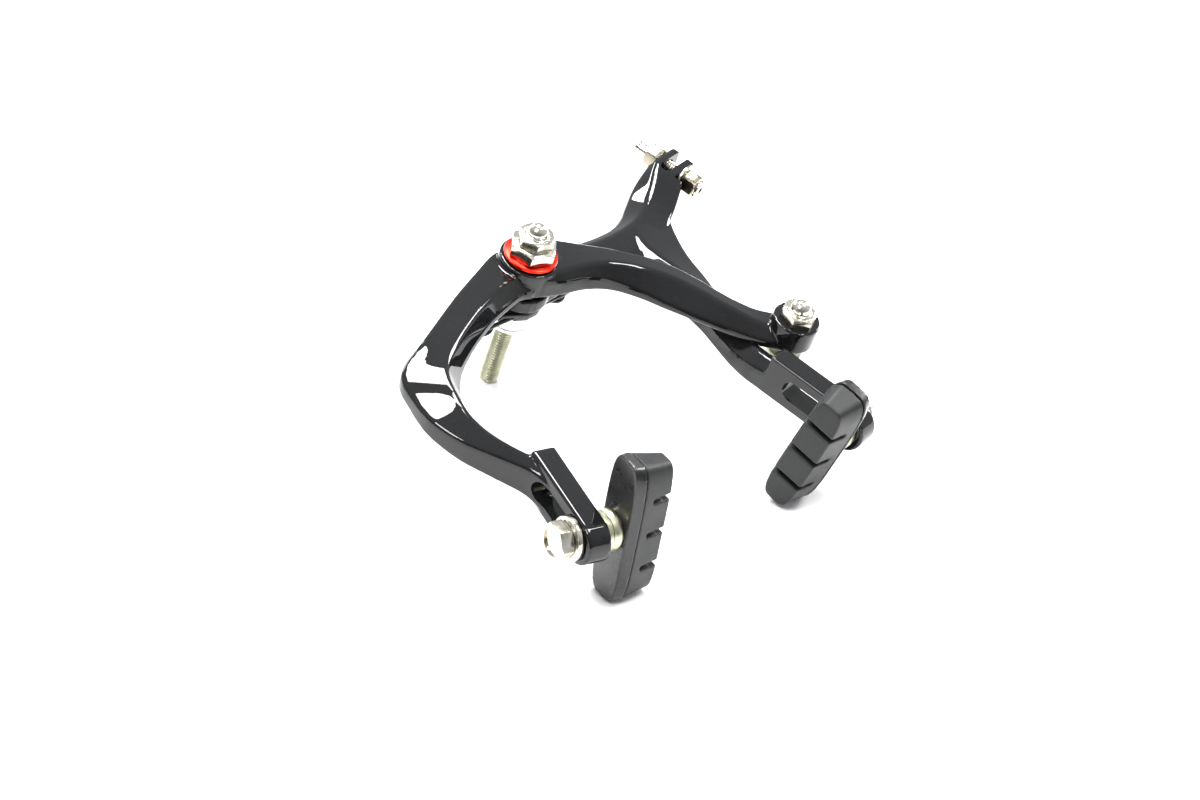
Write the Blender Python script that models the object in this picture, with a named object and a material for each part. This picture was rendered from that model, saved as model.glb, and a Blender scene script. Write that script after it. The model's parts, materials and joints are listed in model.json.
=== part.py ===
"""Single-pivot side-pull rim brake caliper for a small-wheel bicycle, lying on its back, in metres.

Everything is modelled in the caliper's own frame: X across the wheel, Y up towards the pivot,
Z forwards along the pivot bolt, with Z = 0 on the front face of the front arm. Each arm is drawn as
it stands when the brake is closed, then swung open about the pivot. The last step lays the whole
brake down on the three points it rests on.
"""
import math

import bmesh
import bpy
from mathutils import Matrix, Vector

MM = 0.001
FINE_GAP = 0.3 * MM          # kept between pieces that touch
RUN_CLEARANCE = 0.35 * MM    # radial, where a bolt or stud runs in a bore

# Pivot stack, front to back
PIVOT_BOLT_RADIUS = 3.0 * MM
PIVOT_BOLT_STICKOUT = 22.9 * MM      # behind the crown spacer
PIVOT_BORE = PIVOT_BOLT_RADIUS + RUN_CLEARANCE
PIVOT_BOSS_RADIUS = PIVOT_BORE + 5.85 * MM
PIVOT_WASHER_RADIUS = PIVOT_BORE + 3.85 * MM
SPACER_RADIUS = PIVOT_BORE + 2.65 * MM
RING_RADIUS = PIVOT_BORE + 4.95 * MM
RING_THICK = 1.2 * MM
C_ARM_THICK = 8.5 * MM
MID_WASHER_THICK = 1.0 * MM
Y_ARM_THICK = 8.5 * MM
Y_HUB_THICK = 4.6 * MM               # the rear arm is thinner round the pivot
REAR_WASHER_THICK = 0.8 * MM
HOLDER_THICK = 3.0 * MM
SPACER_THICK = 7.2 * MM
ADJUST_NUT_FLATS = 2 * (PIVOT_BORE + 3.15 * MM)
ADJUST_NUT_THICK = 3.6 * MM
ADJUST_NUT_TURN = math.radians(12)
CAP_NUT_FLATS = 2 * (PIVOT_BORE + 1.65 * MM)
CAP_NUT_THICK = 3.3 * MM
CAP_NUT_TURN = math.radians(20)
CAP_DOME_RADIUS = PIVOT_BORE - 0.1 * MM
CAP_ROOF = 0.8 * MM                  # left above the blind bore of every cap nut
COLLAR_WIDTH = 0.2 * MM              # round the foot of every cap nut's dome

# Depths worked out from the stack
MID_WASHER_FRONT = -C_ARM_THICK - FINE_GAP
Y_ARM_FRONT = MID_WASHER_FRONT - MID_WASHER_THICK - FINE_GAP
Y_ARM_REAR = Y_ARM_FRONT - Y_ARM_THICK
Y_HUB_REAR = Y_ARM_FRONT - Y_HUB_THICK
REAR_WASHER_FRONT = Y_HUB_REAR - FINE_GAP
HOLDER_FRONT = REAR_WASHER_FRONT - REAR_WASHER_THICK - FINE_GAP
HOLDER_REAR = HOLDER_FRONT - HOLDER_THICK
SPACER_FRONT = HOLDER_REAR - FINE_GAP
SPACER_REAR = SPACER_FRONT - SPACER_THICK
BOLT_TAIL = SPACER_REAR - PIVOT_BOLT_STICKOUT
NUT_FRONT = FINE_GAP + RING_THICK + FINE_GAP + ADJUST_NUT_THICK

# Swing of the two arms from closed to the open rest position
C_ARM_OPEN = math.radians(14.9)
Y_ARM_OPEN = math.radians(7.4)

# The front arm thins towards the cable anchor, where it passes in front of the rear arm's leg
C_ARM_TIP_THICK = 5.6 * MM
C_ARM_TIP_CLEARANCE = 0.9 * MM
C_ARM_TIP_FRONT = Y_ARM_FRONT + C_ARM_TIP_CLEARANCE + C_ARM_TIP_THICK

# Brake shoe, outwards from the wheel's middle plane
PAD_LENGTH = 45.0 * MM
PAD_FACE_X = 11.0 * MM               # braking face when closed
RUBBER_THICK = 10.0 * MM
HOLDER_PLATE_THICK = 3.4 * MM
BALL_SEAT_THICK = 5.3 * MM           # ball washer and cup washer together
BALL_SHARE = 0.55                    # the ball washer's part of that
BALL_WASHER_RADIUS = 5.6 * MM
CUP_WASHER_RADIUS = 6.3 * MM
PAD_FACE_HEIGHT = 10.0 * MM
PAD_BASE_HEIGHT = 14.0 * MM
PAD_CORNER = 3.2 * MM
GROOVE_WIDTH = 2.0 * MM
GROOVE_DEPTH = 3.0 * MM
GROOVE_COUNT = 3
LEFT_PAD_TURN = math.radians(-12.0)
RIGHT_PAD_TURN = math.radians(8.0)
STUD_RADIUS = 3.0 * MM
STUD_BORE = STUD_RADIUS + RUN_CLEARANCE
SHOE_WASHER_RADIUS = STUD_BORE + 3.25 * MM
SHOE_WASHER_THICK = 2.0 * MM
SHOE_NUT_FLATS = 2 * (STUD_BORE + 1.65 * MM)
SHOE_NUT_THICK = 4.2 * MM
SHOE_NUT_TURN = math.radians(10)
SHOE_DOME_RADIUS = STUD_BORE + 0.35 * MM
SHOE_Y = -99.0 * MM                  # stud axis, below the pivot
SHOE_Z = -C_ARM_THICK - 0.5 * MM     # plane of both shoes, between the two arms' layers

# Slotted tabs that carry the brake shoes
TAB_INNER_X = PAD_FACE_X + RUBBER_THICK + HOLDER_PLATE_THICK + BALL_SEAT_THICK + 3 * FINE_GAP
TAB_THICK = 7.6 * MM
TAB_WALL = 3.45 * MM                 # beside the slot
TAB_WIDTH = 2 * (STUD_BORE + TAB_WALL)
SLOT_TOP_Y = SHOE_Y + 21.0 * MM
SLOT_END_Y = SHOE_Y - 4.5 * MM
TAB_TOP_Y = SLOT_TOP_Y + 7.0 * MM
TAB_END_Y = SLOT_END_Y - 4.0 * MM
ROOT_DROP = 11.0 * MM                # how far each leg runs down into its tab

# Arch of the front arm and leg of the rear arm: widest points, from the wheel's middle plane
ARCH_X = 61.0 * MM
LEG_X = 54.0 * MM

# Cable anchor on the front arm
ANCHOR_X, ANCHOR_Y = 71.0 * MM, -43.0 * MM
ANCHOR_BOLT_RADIUS = 3.0 * MM
ANCHOR_BORE = ANCHOR_BOLT_RADIUS + RUN_CLEARANCE
ANCHOR_BOSS_RADIUS = ANCHOR_BORE + 4.05 * MM
ANCHOR_BOSS_FRONT = C_ARM_TIP_FRONT - 0.2 * MM
ANCHOR_BOSS_THICK = 8.2 * MM
ANCHOR_BOSS_REAR = ANCHOR_BOSS_FRONT - ANCHOR_BOSS_THICK
ANCHOR_HEAD_RADIUS = ANCHOR_BORE + 2.05 * MM
ANCHOR_HEAD_THICK = 3.0 * MM
ANCHOR_NUT_FLATS = 2 * (ANCHOR_BORE + 1.65 * MM)
ANCHOR_NUT_THICK = 3.3 * MM
ANCHOR_NUT_TURN = math.radians(8)
ANCHOR_DOME_RADIUS = ANCHOR_BORE - 0.1 * MM
CLAMP_PLATE_THICK = 1.6 * MM
CLAMP_PLATE_HALF = ANCHOR_BORE + 2.65 * MM
CABLE_HOLE_RADIUS = 0.9 * MM

# Cable adjuster on the rear arm's fork
FORK_RISE = 3.85 * MM                # the barrel's axis stands this far ahead of the arm's middle
FORK_X, FORK_Z = 85.0 * MM, (Y_ARM_FRONT + Y_ARM_REAR) / 2 + FORK_RISE
BARREL_RADIUS = 2.5 * MM
BARREL_RUN = BARREL_RADIUS + RUN_CLEARANCE
BARREL_BORE = 1.0 * MM
BARREL_ABOVE = 14.2 * MM             # from the middle of the fork's gap
BARREL_BELOW = 11.8 * MM
BARREL_NECK = 5.2 * MM
LUG_THICK = 2.6 * MM
LUG_WALL = 2.55 * MM                 # outside the barrel's bore
FORK_GAP = 3.6 * MM
FORK_GAP_Y = 5.2 * MM                # middle of the gap
ADJUSTER_NUT_FLATS = 2 * (BARREL_RUN + 0.85 * MM)
ADJUSTER_NUT_THICK = 4.4 * MM
ADJUSTER_NUT_TURN = math.radians(15)
LOCKNUT_FLATS = 2 * (BARREL_RUN + 0.65 * MM)
LOCKNUT_THICK = 4.6 * MM
ADJUSTER_WASHER_RADIUS = BARREL_RUN + 2.15 * MM
ADJUSTER_WASHER_THICK = 1.0 * MM

# Return spring
WIRE_RADIUS = 0.7 * MM
SPRING_SLOT = 2 * (WIRE_RADIUS + FINE_GAP)
SPRING_LOOP_RADIUS = 4.2 * MM
SPRING_LOOP_X = PIVOT_BORE + 12.15 * MM
SPRING_STRAIGHT_X = PIVOT_BORE + 8.15 * MM
SPRING_LOOP_DEPTH = 2.4 * MM
SPRING_WIRE_Y = -PIVOT_BORE - WIRE_RADIUS - 0.95 * MM
SPRING_Z = HOLDER_REAR + WIRE_RADIUS + FINE_GAP

EDGE_BEVEL = 1.3 * MM                # rounded edges of the forged arms
THROUGH = 60.0 * MM                  # half length of a cutter that passes right through


def clear_scene():
    for obj in list(bpy.data.objects):
        bpy.data.objects.remove(obj, do_unlink=True)


clear_scene()
CALIPER = bpy.data.collections.new("rim_brake_caliper")
CUTTERS = bpy.data.collections.new("cutters")
for group in (CALIPER, CUTTERS):
    bpy.context.scene.collection.children.link(group)
CUTTERS.hide_render = True


def empty(name, parent=None, location=(0, 0, 0), turn=(0, 0, 0)):
    marker = bpy.data.objects.new(name, None)
    marker.empty_display_size = 0.01
    marker.parent = parent
    marker.location = location
    marker.rotation_euler = turn
    CALIPER.objects.link(marker)
    return marker


def finish(name, colour, roughness, metallic):
    material = bpy.data.materials.new(name)
    material.use_nodes = True
    shader = material.node_tree.nodes["Principled BSDF"]
    shader.inputs["Base Color"].default_value = (*colour, 1)
    shader.inputs["Roughness"].default_value = roughness
    shader.inputs["Metallic"].default_value = metallic
    return material


GLOSS_BLACK = finish("gloss_black", (0.012, 0.013, 0.014), 0.16, 0.0)
CHROME = finish("chrome", (0.78, 0.77, 0.72), 0.10, 1.0)
STEEL = finish("zinc_steel", (0.55, 0.53, 0.42), 0.30, 1.0)
RED = finish("red_anodised", (0.72, 0.05, 0.03), 0.25, 0.6)
RUBBER = finish("black_rubber", (0.02, 0.021, 0.022), 0.62, 0.0)
HOLDER_PAINT = finish("satin_black", (0.018, 0.018, 0.019), 0.38, 0.0)
SILVER = finish("silver_aluminium", (0.72, 0.72, 0.72), 0.32, 1.0)
SPRING_BLACK = finish("black_spring_wire", (0.02, 0.02, 0.02), 0.35, 0.4)
DARK_STEEL = finish("dark_steel", (0.20, 0.19, 0.17), 0.28, 1.0)


def show(obj, name, material, parent=None, smooth=35):
    """Names the finished piece, gives it its material and hangs it on its parent."""
    obj.name = name
    obj.data.name = name
    obj.data.materials.clear()
    obj.data.materials.append(material)
    obj.data.shade_smooth()
    obj.data.set_sharp_from_angle(angle=math.radians(smooth))
    obj.parent = parent
    return obj


def mesh_object(name, mesh, group):
    obj = bpy.data.objects.new(name, mesh)
    group.objects.link(obj)
    return obj


def as_mesh(obj, group=CUTTERS, weld=1e-6):
    """A mesh copy of the evaluated object, with its loose caps welded. The original is removed."""
    bpy.context.view_layer.update()
    graph = bpy.context.evaluated_depsgraph_get()
    mesh = bpy.data.meshes.new_from_object(obj.evaluated_get(graph))
    mesh.transform(obj.matrix_world)
    bpy.data.objects.remove(obj, do_unlink=True)
    work = bmesh.new()
    work.from_mesh(mesh)
    bmesh.ops.remove_doubles(work, verts=work.verts, dist=weld)
    bmesh.ops.recalc_face_normals(work, faces=work.faces)
    work.to_mesh(mesh)
    work.free()
    return mesh_object("work", mesh, group)


def plate(points, bottom, top, bevel=0.0, steps=5):
    """A smooth closed outline through the points, as a plate between two depths."""
    curve = bpy.data.curves.new("outline", "CURVE")
    curve.dimensions = "2D"
    curve.fill_mode = "BOTH"
    curve.resolution_u = steps
    spline = curve.splines.new("BEZIER")
    spline.bezier_points.add(len(points) - 1)
    for knot, (x, y) in zip(spline.bezier_points, points):
        knot.co = (x, y, 0)
        knot.handle_left_type = knot.handle_right_type = "AUTO"
    spline.use_cyclic_u = True
    curve.offset = -bevel
    curve.bevel_depth = bevel
    curve.bevel_resolution = 0
    curve.extrude = (top - bottom) / 2 - bevel
    obj = mesh_object("outline", curve, CUTTERS)
    obj.matrix_world = Matrix.Translation((0, 0, (top + bottom) / 2))
    return as_mesh(obj)


def cylinder(radius, bottom, top, at=(0, 0), sides=32, top_radius=None, chamfer=0.0):
    """An upright cylinder or cone at (x, y), with an optional chamfer on both rims."""
    mesh = bpy.data.meshes.new("round")
    work = bmesh.new()
    bmesh.ops.create_cone(
        work,
        cap_ends=True,
        segments=sides,
        radius1=radius,
        radius2=radius if top_radius is None else top_radius,
        depth=top - bottom,
        matrix=Matrix.Translation((at[0], at[1], (top + bottom) / 2)),
    )
    if chamfer:
        rims = [e for e in work.edges if abs(e.verts[0].co.z - e.verts[1].co.z) < 1e-7]
        bmesh.ops.bevel(work, geom=rims, offset=chamfer, segments=1, affect="EDGES")
    work.to_mesh(mesh)
    work.free()
    return mesh_object("round", mesh, CUTTERS)


def hexagon(flats, bottom, top, at=(0, 0), turn=0.0):
    """A hexagonal prism with its rims chamfered as on a turned nut."""
    prism = cylinder(flats / math.sqrt(3), bottom, top, sides=6)
    corners_off = 0.55 * flats
    cone = cylinder(corners_off, bottom - 0.1 * MM, top + 0.1 * MM, sides=36, chamfer=0.55 * MM)
    boolean(prism, cone, "INTERSECT")
    prism.data.transform(Matrix.Translation((*at, 0)) @ Matrix.Rotation(turn, 4, "Z"))
    return prism


def dome(radius, height, at=(0, 0), sides=24):
    """A ball for the rounded end of a cap nut."""
    mesh = bpy.data.meshes.new("dome")
    work = bmesh.new()
    bmesh.ops.create_uvsphere(
        work, u_segments=sides, v_segments=sides // 2, radius=radius,
        matrix=Matrix.Translation((at[0], at[1], height)),
    )
    work.to_mesh(mesh)
    work.free()
    return mesh_object("dome", mesh, CUTTERS)


def box(size, centre):
    mesh = bpy.data.meshes.new("block")
    work = bmesh.new()
    place = Matrix.Translation(centre) @ Matrix.Diagonal((*size, 1))
    bmesh.ops.create_cube(work, size=1.0, matrix=place)
    work.to_mesh(mesh)
    work.free()
    return mesh_object("block", mesh, CUTTERS)


def bore_cutter(radius, at=(0, 0), sides=24):
    """A long upright cylinder that passes right through a piece."""
    return cylinder(radius, -THROUGH, THROUGH, at=at, sides=sides)


def scaled(points, wide, tall):
    """Outline points given as shares of a width and a height."""
    return [(x * wide, y * tall) for x, y in points]


def boolean(body, other, operation):
    """Joins, cuts or intersects with another mesh and keeps the result as the body's own mesh."""
    step = body.modifiers.new(operation.lower(), "BOOLEAN")
    step.operation = operation
    step.object = other
    bpy.context.view_layer.update()
    graph = bpy.context.evaluated_depsgraph_get()
    mesh = bpy.data.meshes.new_from_object(body.evaluated_get(graph))
    body.modifiers.clear()
    body.data = mesh
    bpy.data.objects.remove(other, do_unlink=True)
    return body


def join(body, *others):
    for other in others:
        boolean(body, other, "UNION")
    return body


def cut(body, *others):
    for other in others:
        boolean(body, other, "DIFFERENCE")
    return body


def keep(obj):
    """Moves a finished solid from the cutters to the caliper."""
    CUTTERS.objects.unlink(obj)
    CALIPER.objects.link(obj)
    return obj


def ease(value, start, end):
    """0 before start, 1 after end, and smooth between them."""
    share = min(max((value - start) / (end - start), 0.0), 1.0)
    return share * share * (3 - 2 * share)


def warp(obj, lift, slices):
    """Gives each point the depth that lift works out for it, after slicing the wide faces."""
    work = bmesh.new()
    work.from_mesh(obj.data)
    for axis, places in slices.items():
        for place in places:
            at = Vector((0, 0, 0))
            at[axis] = place
            normal = Vector((0, 0, 0))
            normal[axis] = 1
            whole = work.verts[:] + work.edges[:] + work.faces[:]
            bmesh.ops.bisect_plane(work, geom=whole, plane_co=at, plane_no=normal, dist=1e-7)
    bmesh.ops.triangulate(work, faces=work.faces)
    for vertex in work.verts:
        vertex.co.z = lift(*vertex.co)
    work.to_mesh(obj.data)
    work.free()
    return obj


def shoe_tab(side):
    """The slotted end of an arm: a thick strap on edge, with a rounded lower end."""
    radius = TAB_WIDTH / 2
    middle = side * (TAB_INNER_X + TAB_THICK / 2)
    across = Matrix.Translation((middle, 0, SHOE_Z)) @ Matrix.Rotation(math.pi / 2, 4, "Y")
    strap = cylinder(radius, -TAB_THICK / 2, TAB_THICK / 2, at=(0, TAB_END_Y + radius), sides=28)
    block = box((TAB_WIDTH, TAB_TOP_Y - TAB_END_Y - radius, TAB_THICK),
                (0, (TAB_TOP_Y + TAB_END_Y + radius) / 2, 0))
    join(strap, block)
    strap.data.transform(across)
    return strap


def shoe_slot(side):
    """Cutter for the height slot through a tab."""
    radius = STUD_BORE
    half = TAB_THICK
    ends = [cylinder(radius, -half, half, at=(0, y), sides=20)
            for y in (SLOT_TOP_Y - radius, SLOT_END_Y + radius)]
    length = SLOT_TOP_Y - SLOT_END_Y - 2 * radius
    slot = join(ends[0], ends[1], box((2 * radius, length, 2 * half),
                                      (0, (SLOT_TOP_Y + SLOT_END_Y) / 2, 0)))
    middle = side * (TAB_INNER_X + TAB_THICK / 2)
    slot.data.transform(Matrix.Translation((middle, 0, SHOE_Z)) @ Matrix.Rotation(math.pi / 2, 4, "Y"))
    return slot


def c_arm(parent):
    """Front arm: over the pivot, round the tyre on the left, and out to the cable anchor."""
    tab_outer = TAB_INNER_X + TAB_THICK
    leg_outside = [(-0.46, 0.093), (-0.82, 0.346), (-0.967, 0.507), (-1, 0.662), (-0.943, 0.817),
                   (-0.803, 0.944)]
    leg_inside = [(-0.734, 0.803), (-0.73, 0.648), (-0.631, 0.479), (-0.443, 0.31), (-0.213, 0.169)]
    branch_below = [(0.268, 0.19), (0.408, 0.314), (0.549, 0.547), (0.69, 0.767), (0.845, 1)]
    branch_above = [(0.887, 0.749), (0.789, 0.558), (0.704, 0.321), (0.521, 0.107), (0.268, -0.074)]
    root = [
        (-tab_outer - 2.8 * MM, TAB_TOP_Y - 3 * MM), (-tab_outer, TAB_TOP_Y - ROOT_DROP),
        (-TAB_INNER_X - 1.4 * MM, TAB_TOP_Y - ROOT_DROP), (-TAB_INNER_X - 2.4 * MM, TAB_TOP_Y - 2 * MM),
        (-TAB_INNER_X - 8.9 * MM, TAB_TOP_Y + 5 * MM),
    ]
    eye = [(ANCHOR_X, ANCHOR_Y - ANCHOR_BOSS_RADIUS + 1 * MM), (ANCHOR_X + 5.5 * MM, ANCHOR_Y),
           (ANCHOR_X + 1.5 * MM, ANCHOR_Y + 6.4 * MM)]
    hub_below = [(-5 * MM, -PIVOT_BOSS_RADIUS - 0.2 * MM), (6 * MM, -PIVOT_BOSS_RADIUS - 0.4 * MM)]
    outline = (
        [(-6 * MM, PIVOT_BOSS_RADIUS - 2 * MM)] + scaled(leg_outside, ARCH_X, TAB_TOP_Y) + root
        + scaled(leg_inside, ARCH_X, TAB_TOP_Y) + hub_below + scaled(branch_below, ANCHOR_X, ANCHOR_Y)
        + eye + scaled(branch_above, ANCHOR_X, ANCHOR_Y) + [(6 * MM, PIVOT_BOSS_RADIUS - 0.8 * MM)]
    )

    def lift(x, y, z):
        outward = ease(x, 15 * MM, ANCHOR_X - 11 * MM)
        down = ease(-y, -0.42 * TAB_TOP_Y, -TAB_TOP_Y + 1 * MM) * (x < 0)
        thin = 1 - outward * (1 - C_ARM_TIP_THICK / C_ARM_THICK)
        return z * thin + outward * C_ARM_TIP_FRONT + down * (SHOE_Z + C_ARM_THICK / 2)

    slices = {0: [-12 * MM, 12 * MM] + [ANCHOR_X * k / 6 for k in range(2, 6)] + [ANCHOR_X - 1 * MM],
              1: [TAB_TOP_Y * k / 7 for k in range(3, 8)]}
    arm = warp(plate(outline, -C_ARM_THICK, 0, bevel=EDGE_BEVEL), lift, slices)
    join(
        arm,
        cylinder(PIVOT_BOSS_RADIUS, -C_ARM_THICK, 0, sides=40),
        cylinder(ANCHOR_BOSS_RADIUS, ANCHOR_BOSS_REAR, ANCHOR_BOSS_FRONT, at=(ANCHOR_X, ANCHOR_Y), sides=36),
        shoe_tab(-1),
    )
    anchor_bore = bore_cutter(ANCHOR_BORE, at=(ANCHOR_X, ANCHOR_Y))
    cut(arm, bore_cutter(PIVOT_BORE, sides=28), anchor_bore, shoe_slot(-1))
    return show(keep(arm), "c_arm", GLOSS_BLACK, parent)


def above_tab(wide, anchor_share, tab_share):
    """A point of the rear leg's lower part, which is inside the anchor's swing before the tab begins."""
    return (wide * LEG_X, max(anchor_share * ANCHOR_Y, tab_share * TAB_TOP_Y))


def y_arm(parent):
    """Rear arm: from the pivot to the right, up to the adjuster fork and down to the right shoe."""
    tab_outer = TAB_INNER_X + TAB_THICK
    lug_half = FORK_GAP / 2 + LUG_THICK
    lug_end = FORK_X + BARREL_RUN + LUG_WALL
    branch_above = [(0.235, 4.6), (0.4, 1.2), (0.553, 0), (0.682, 2.6), (0.812, 7.4)]
    branch_below = [(0.876, -4.2), (0.824, -6.8), (0.776, -10.4)]
    leg_outside = [(1.13, 0.38), (1.045, 0.65), (0.935, 0.96)]
    foot_outside = [above_tab(0.824, 1.302, 0.789), above_tab(0.741, 1.535, 0.93)]
    foot_inside = [above_tab(0.602, 1.441, 0.873), above_tab(0.667, 1.209, 0.732)]
    leg_inside = [(0.745, 0.907), (0.755, 0.627), (0.7, 0.395)]
    lug_top = FORK_GAP_Y + lug_half - 0.2 * MM
    lug_foot = FORK_GAP_Y - lug_half + 0.2 * MM
    fork = [(FORK_X - 6 * MM, lug_top), (lug_end - 0.8 * MM, lug_top), (lug_end, FORK_GAP_Y),
            (lug_end - 0.8 * MM, lug_foot), (FORK_X - 5.4 * MM, FORK_GAP_Y - lug_half)]
    root = [(tab_outer, TAB_TOP_Y - 5 * MM), (TAB_INNER_X + 0.4 * MM, TAB_TOP_Y - ROOT_DROP + 2 * MM),
            (TAB_INNER_X + 0.2 * MM, TAB_TOP_Y + 1 * MM)]
    hub_above = [(-5 * MM, PIVOT_BOSS_RADIUS - 1 * MM), (6 * MM, PIVOT_BOSS_RADIUS - 0.6 * MM)]
    hub_below = [(30 * MM, -11 * MM), (18 * MM, -PIVOT_BOSS_RADIUS + 0.4 * MM),
                 (4 * MM, -PIVOT_BOSS_RADIUS - 0.4 * MM), (-5 * MM, -PIVOT_BOSS_RADIUS + 1 * MM),
                 (-PIVOT_BOSS_RADIUS + 0.2 * MM, 0)]
    outline = (
        hub_above + scaled(branch_above, FORK_X, MM) + fork + scaled(branch_below, FORK_X, MM)
        + scaled(leg_outside, LEG_X, ANCHOR_Y) + foot_outside + root + foot_inside
        + scaled(leg_inside, LEG_X, ANCHOR_Y) + hub_below
    )

    def lift(x, y, z):
        rise = FORK_RISE * ease(x, FORK_X - 29 * MM, FORK_X - 5 * MM)
        leg = 3.0 * MM * ease(-y, -TAB_TOP_Y - 9 * MM, -TAB_TOP_Y + 5 * MM)
        hub = 1 - ease(x, PIVOT_BOSS_RADIUS + 6 * MM, PIVOT_BOSS_RADIUS + 28 * MM)
        thin = 1 - hub * (1 - Y_HUB_THICK / Y_ARM_THICK)
        return Y_ARM_FRONT + (z - Y_ARM_FRONT) * thin + max(rise, leg)

    slices = {0: [PIVOT_BOSS_RADIUS + k * MM for k in (6, 11, 17, 22, 28)]
              + [FORK_X - k * MM for k in (29, 21, 13, 6)],
              1: [TAB_TOP_Y * k / 7 for k in range(3, 8)]}
    arm = warp(plate(outline, Y_ARM_REAR, Y_ARM_FRONT, bevel=EDGE_BEVEL), lift, slices)
    join(
        arm,
        cylinder(PIVOT_BOSS_RADIUS, Y_HUB_REAR, Y_ARM_FRONT, sides=40),
        shoe_tab(1),
    )
    slit_start = FORK_X - BARREL_RUN - 3.65 * MM
    slit = 20 * MM
    gap = box((slit, FORK_GAP, slit), (slit_start + slit / 2, FORK_GAP_Y, FORK_Z))
    bore = bore_cutter(BARREL_RUN)
    bore.data.transform(Matrix.Translation((FORK_X, FORK_GAP_Y, FORK_Z)) @ Matrix.Rotation(math.pi / 2, 4, "X"))
    spot = 6 * MM
    faces = [box((2 * (ADJUSTER_WASHER_RADIUS + 1 * MM), spot, slit),
                 (FORK_X, FORK_GAP_Y + end * (lug_half + spot / 2), FORK_Z)) for end in (-1, 1)]
    cut(arm, bore_cutter(PIVOT_BORE, sides=28), gap, bore, shoe_slot(1), *faces)
    return show(keep(arm), "y_arm", GLOSS_BLACK, parent)


def washer(name, outer, inner, rear, front, material, parent, at=(0, 0), chamfer=0.2 * MM):
    ring = cylinder(outer, rear, front, at=at, sides=36, chamfer=chamfer)
    cut(ring, bore_cutter(inner, at=at, sides=28))
    return show(keep(ring), name, material, parent)


def cap_nut(name, flats, rear, thick, dome_radius, bore, material, parent, at=(0, 0), turn=0.0):
    """Acorn nut: a hexagon with a blind bore and a rounded cap."""
    front = rear + thick
    neck_top = front + 0.3 * MM
    nut = hexagon(flats, rear, front, at=at, turn=turn)
    neck = cylinder(dome_radius + COLLAR_WIDTH, front - 0.5 * MM, neck_top, at=at, sides=24)
    join(nut, neck, dome(dome_radius, neck_top, at=at))
    cut(nut, cylinder(bore, rear - 1 * MM, front - CAP_ROOF, at=at, sides=24))
    return show(keep(nut), name, material, parent)


def pivot_stack(parent):
    bolt_front = NUT_FRONT + CAP_NUT_THICK - CAP_ROOF
    bolt = cylinder(PIVOT_BOLT_RADIUS, BOLT_TAIL, bolt_front, sides=28, chamfer=0.5 * MM)
    show(keep(bolt), "centre_bolt", STEEL, parent)
    washer("front_ring", RING_RADIUS, PIVOT_BORE, FINE_GAP, FINE_GAP + RING_THICK, RED, parent)
    nut = hexagon(ADJUST_NUT_FLATS, NUT_FRONT - ADJUST_NUT_THICK, NUT_FRONT, turn=ADJUST_NUT_TURN)
    cut(nut, bore_cutter(PIVOT_BORE, sides=28))
    show(keep(nut), "pivot_adjusting_nut", CHROME, parent)
    cap_nut("pivot_cap_nut", CAP_NUT_FLATS, NUT_FRONT + FINE_GAP, CAP_NUT_THICK, CAP_DOME_RADIUS,
            PIVOT_BORE, CHROME, parent, turn=CAP_NUT_TURN)
    washer("arm_washer", PIVOT_WASHER_RADIUS, PIVOT_BORE, MID_WASHER_FRONT - MID_WASHER_THICK,
           MID_WASHER_FRONT, STEEL, parent)
    washer("rear_washer", PIVOT_WASHER_RADIUS, PIVOT_BORE, REAR_WASHER_FRONT - REAR_WASHER_THICK,
           REAR_WASHER_FRONT, STEEL, parent)
    washer("crown_spacer", SPACER_RADIUS, PIVOT_BORE, SPACER_REAR, SPACER_FRONT, SILVER, parent,
           chamfer=0.5 * MM)


def spring_holder(parent):
    """Block on the pivot bolt with a slot across its rear face for the spring wire."""
    wide = PIVOT_BORE + 7.65 * MM
    low = SPRING_WIRE_Y - WIRE_RADIUS - 1.9 * MM
    high = PIVOT_BORE + 5.25 * MM
    right = [(0.855 * wide, 0.8 * low), (wide, -1 * MM), (0.855 * wide, 0.7 * high)]
    left = [(-x, y) for x, y in right[::-1]]
    block = plate([(0, low)] + right + [(0, high)] + left, HOLDER_REAR, HOLDER_FRONT, bevel=0.5 * MM, steps=4)
    slot = box((3 * wide, SPRING_SLOT, 2 * SPRING_SLOT), (0, SPRING_WIRE_Y, HOLDER_REAR))
    cut(block, bore_cutter(PIVOT_BORE, sides=28), slot)
    return show(keep(block), "spring_holder", HOLDER_PAINT, parent)


def spring_path():
    """Right half of the spring: straight through the holder, one open loop, and out to the arm."""
    points = [Vector((0, SPRING_WIRE_Y, SPRING_Z)), Vector((SPRING_STRAIGHT_X, SPRING_WIRE_Y, SPRING_Z))]
    centre = Vector((SPRING_LOOP_X, SPRING_WIRE_Y + SPRING_LOOP_RADIUS, SPRING_Z))
    loop_steps = 14
    loop_turn = math.radians(405)
    for step in range(loop_steps + 1):
        share = step / loop_steps
        angle = -math.pi / 2 + loop_turn * share
        spoke = Vector((math.cos(angle), math.sin(angle), 0)) * SPRING_LOOP_RADIUS
        points.append(centre + spoke - Vector((0, 0, SPRING_LOOP_DEPTH * share)))
    tail = points[-1]
    return points + [tail + Vector((6, 1.5, 0)) * MM, tail + Vector((12, 1.0, 0.6)) * MM]


def return_spring(parent):
    right = spring_path()
    left = [Vector((-p.x, p.y, p.z)) for p in right]
    route = left[::-1] + right[1:]
    curve = bpy.data.curves.new("spring", "CURVE")
    curve.dimensions = "3D"
    curve.bevel_depth = WIRE_RADIUS
    curve.bevel_resolution = 2
    curve.use_fill_caps = True
    spline = curve.splines.new("POLY")
    spline.points.add(len(route) - 1)
    for knot, point in zip(spline.points, route):
        knot.co = (*point, 1)
    wire = as_mesh(mesh_object("spring", curve, CUTTERS))
    return show(keep(wire), "return_spring", SPRING_BLACK, parent)


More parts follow.
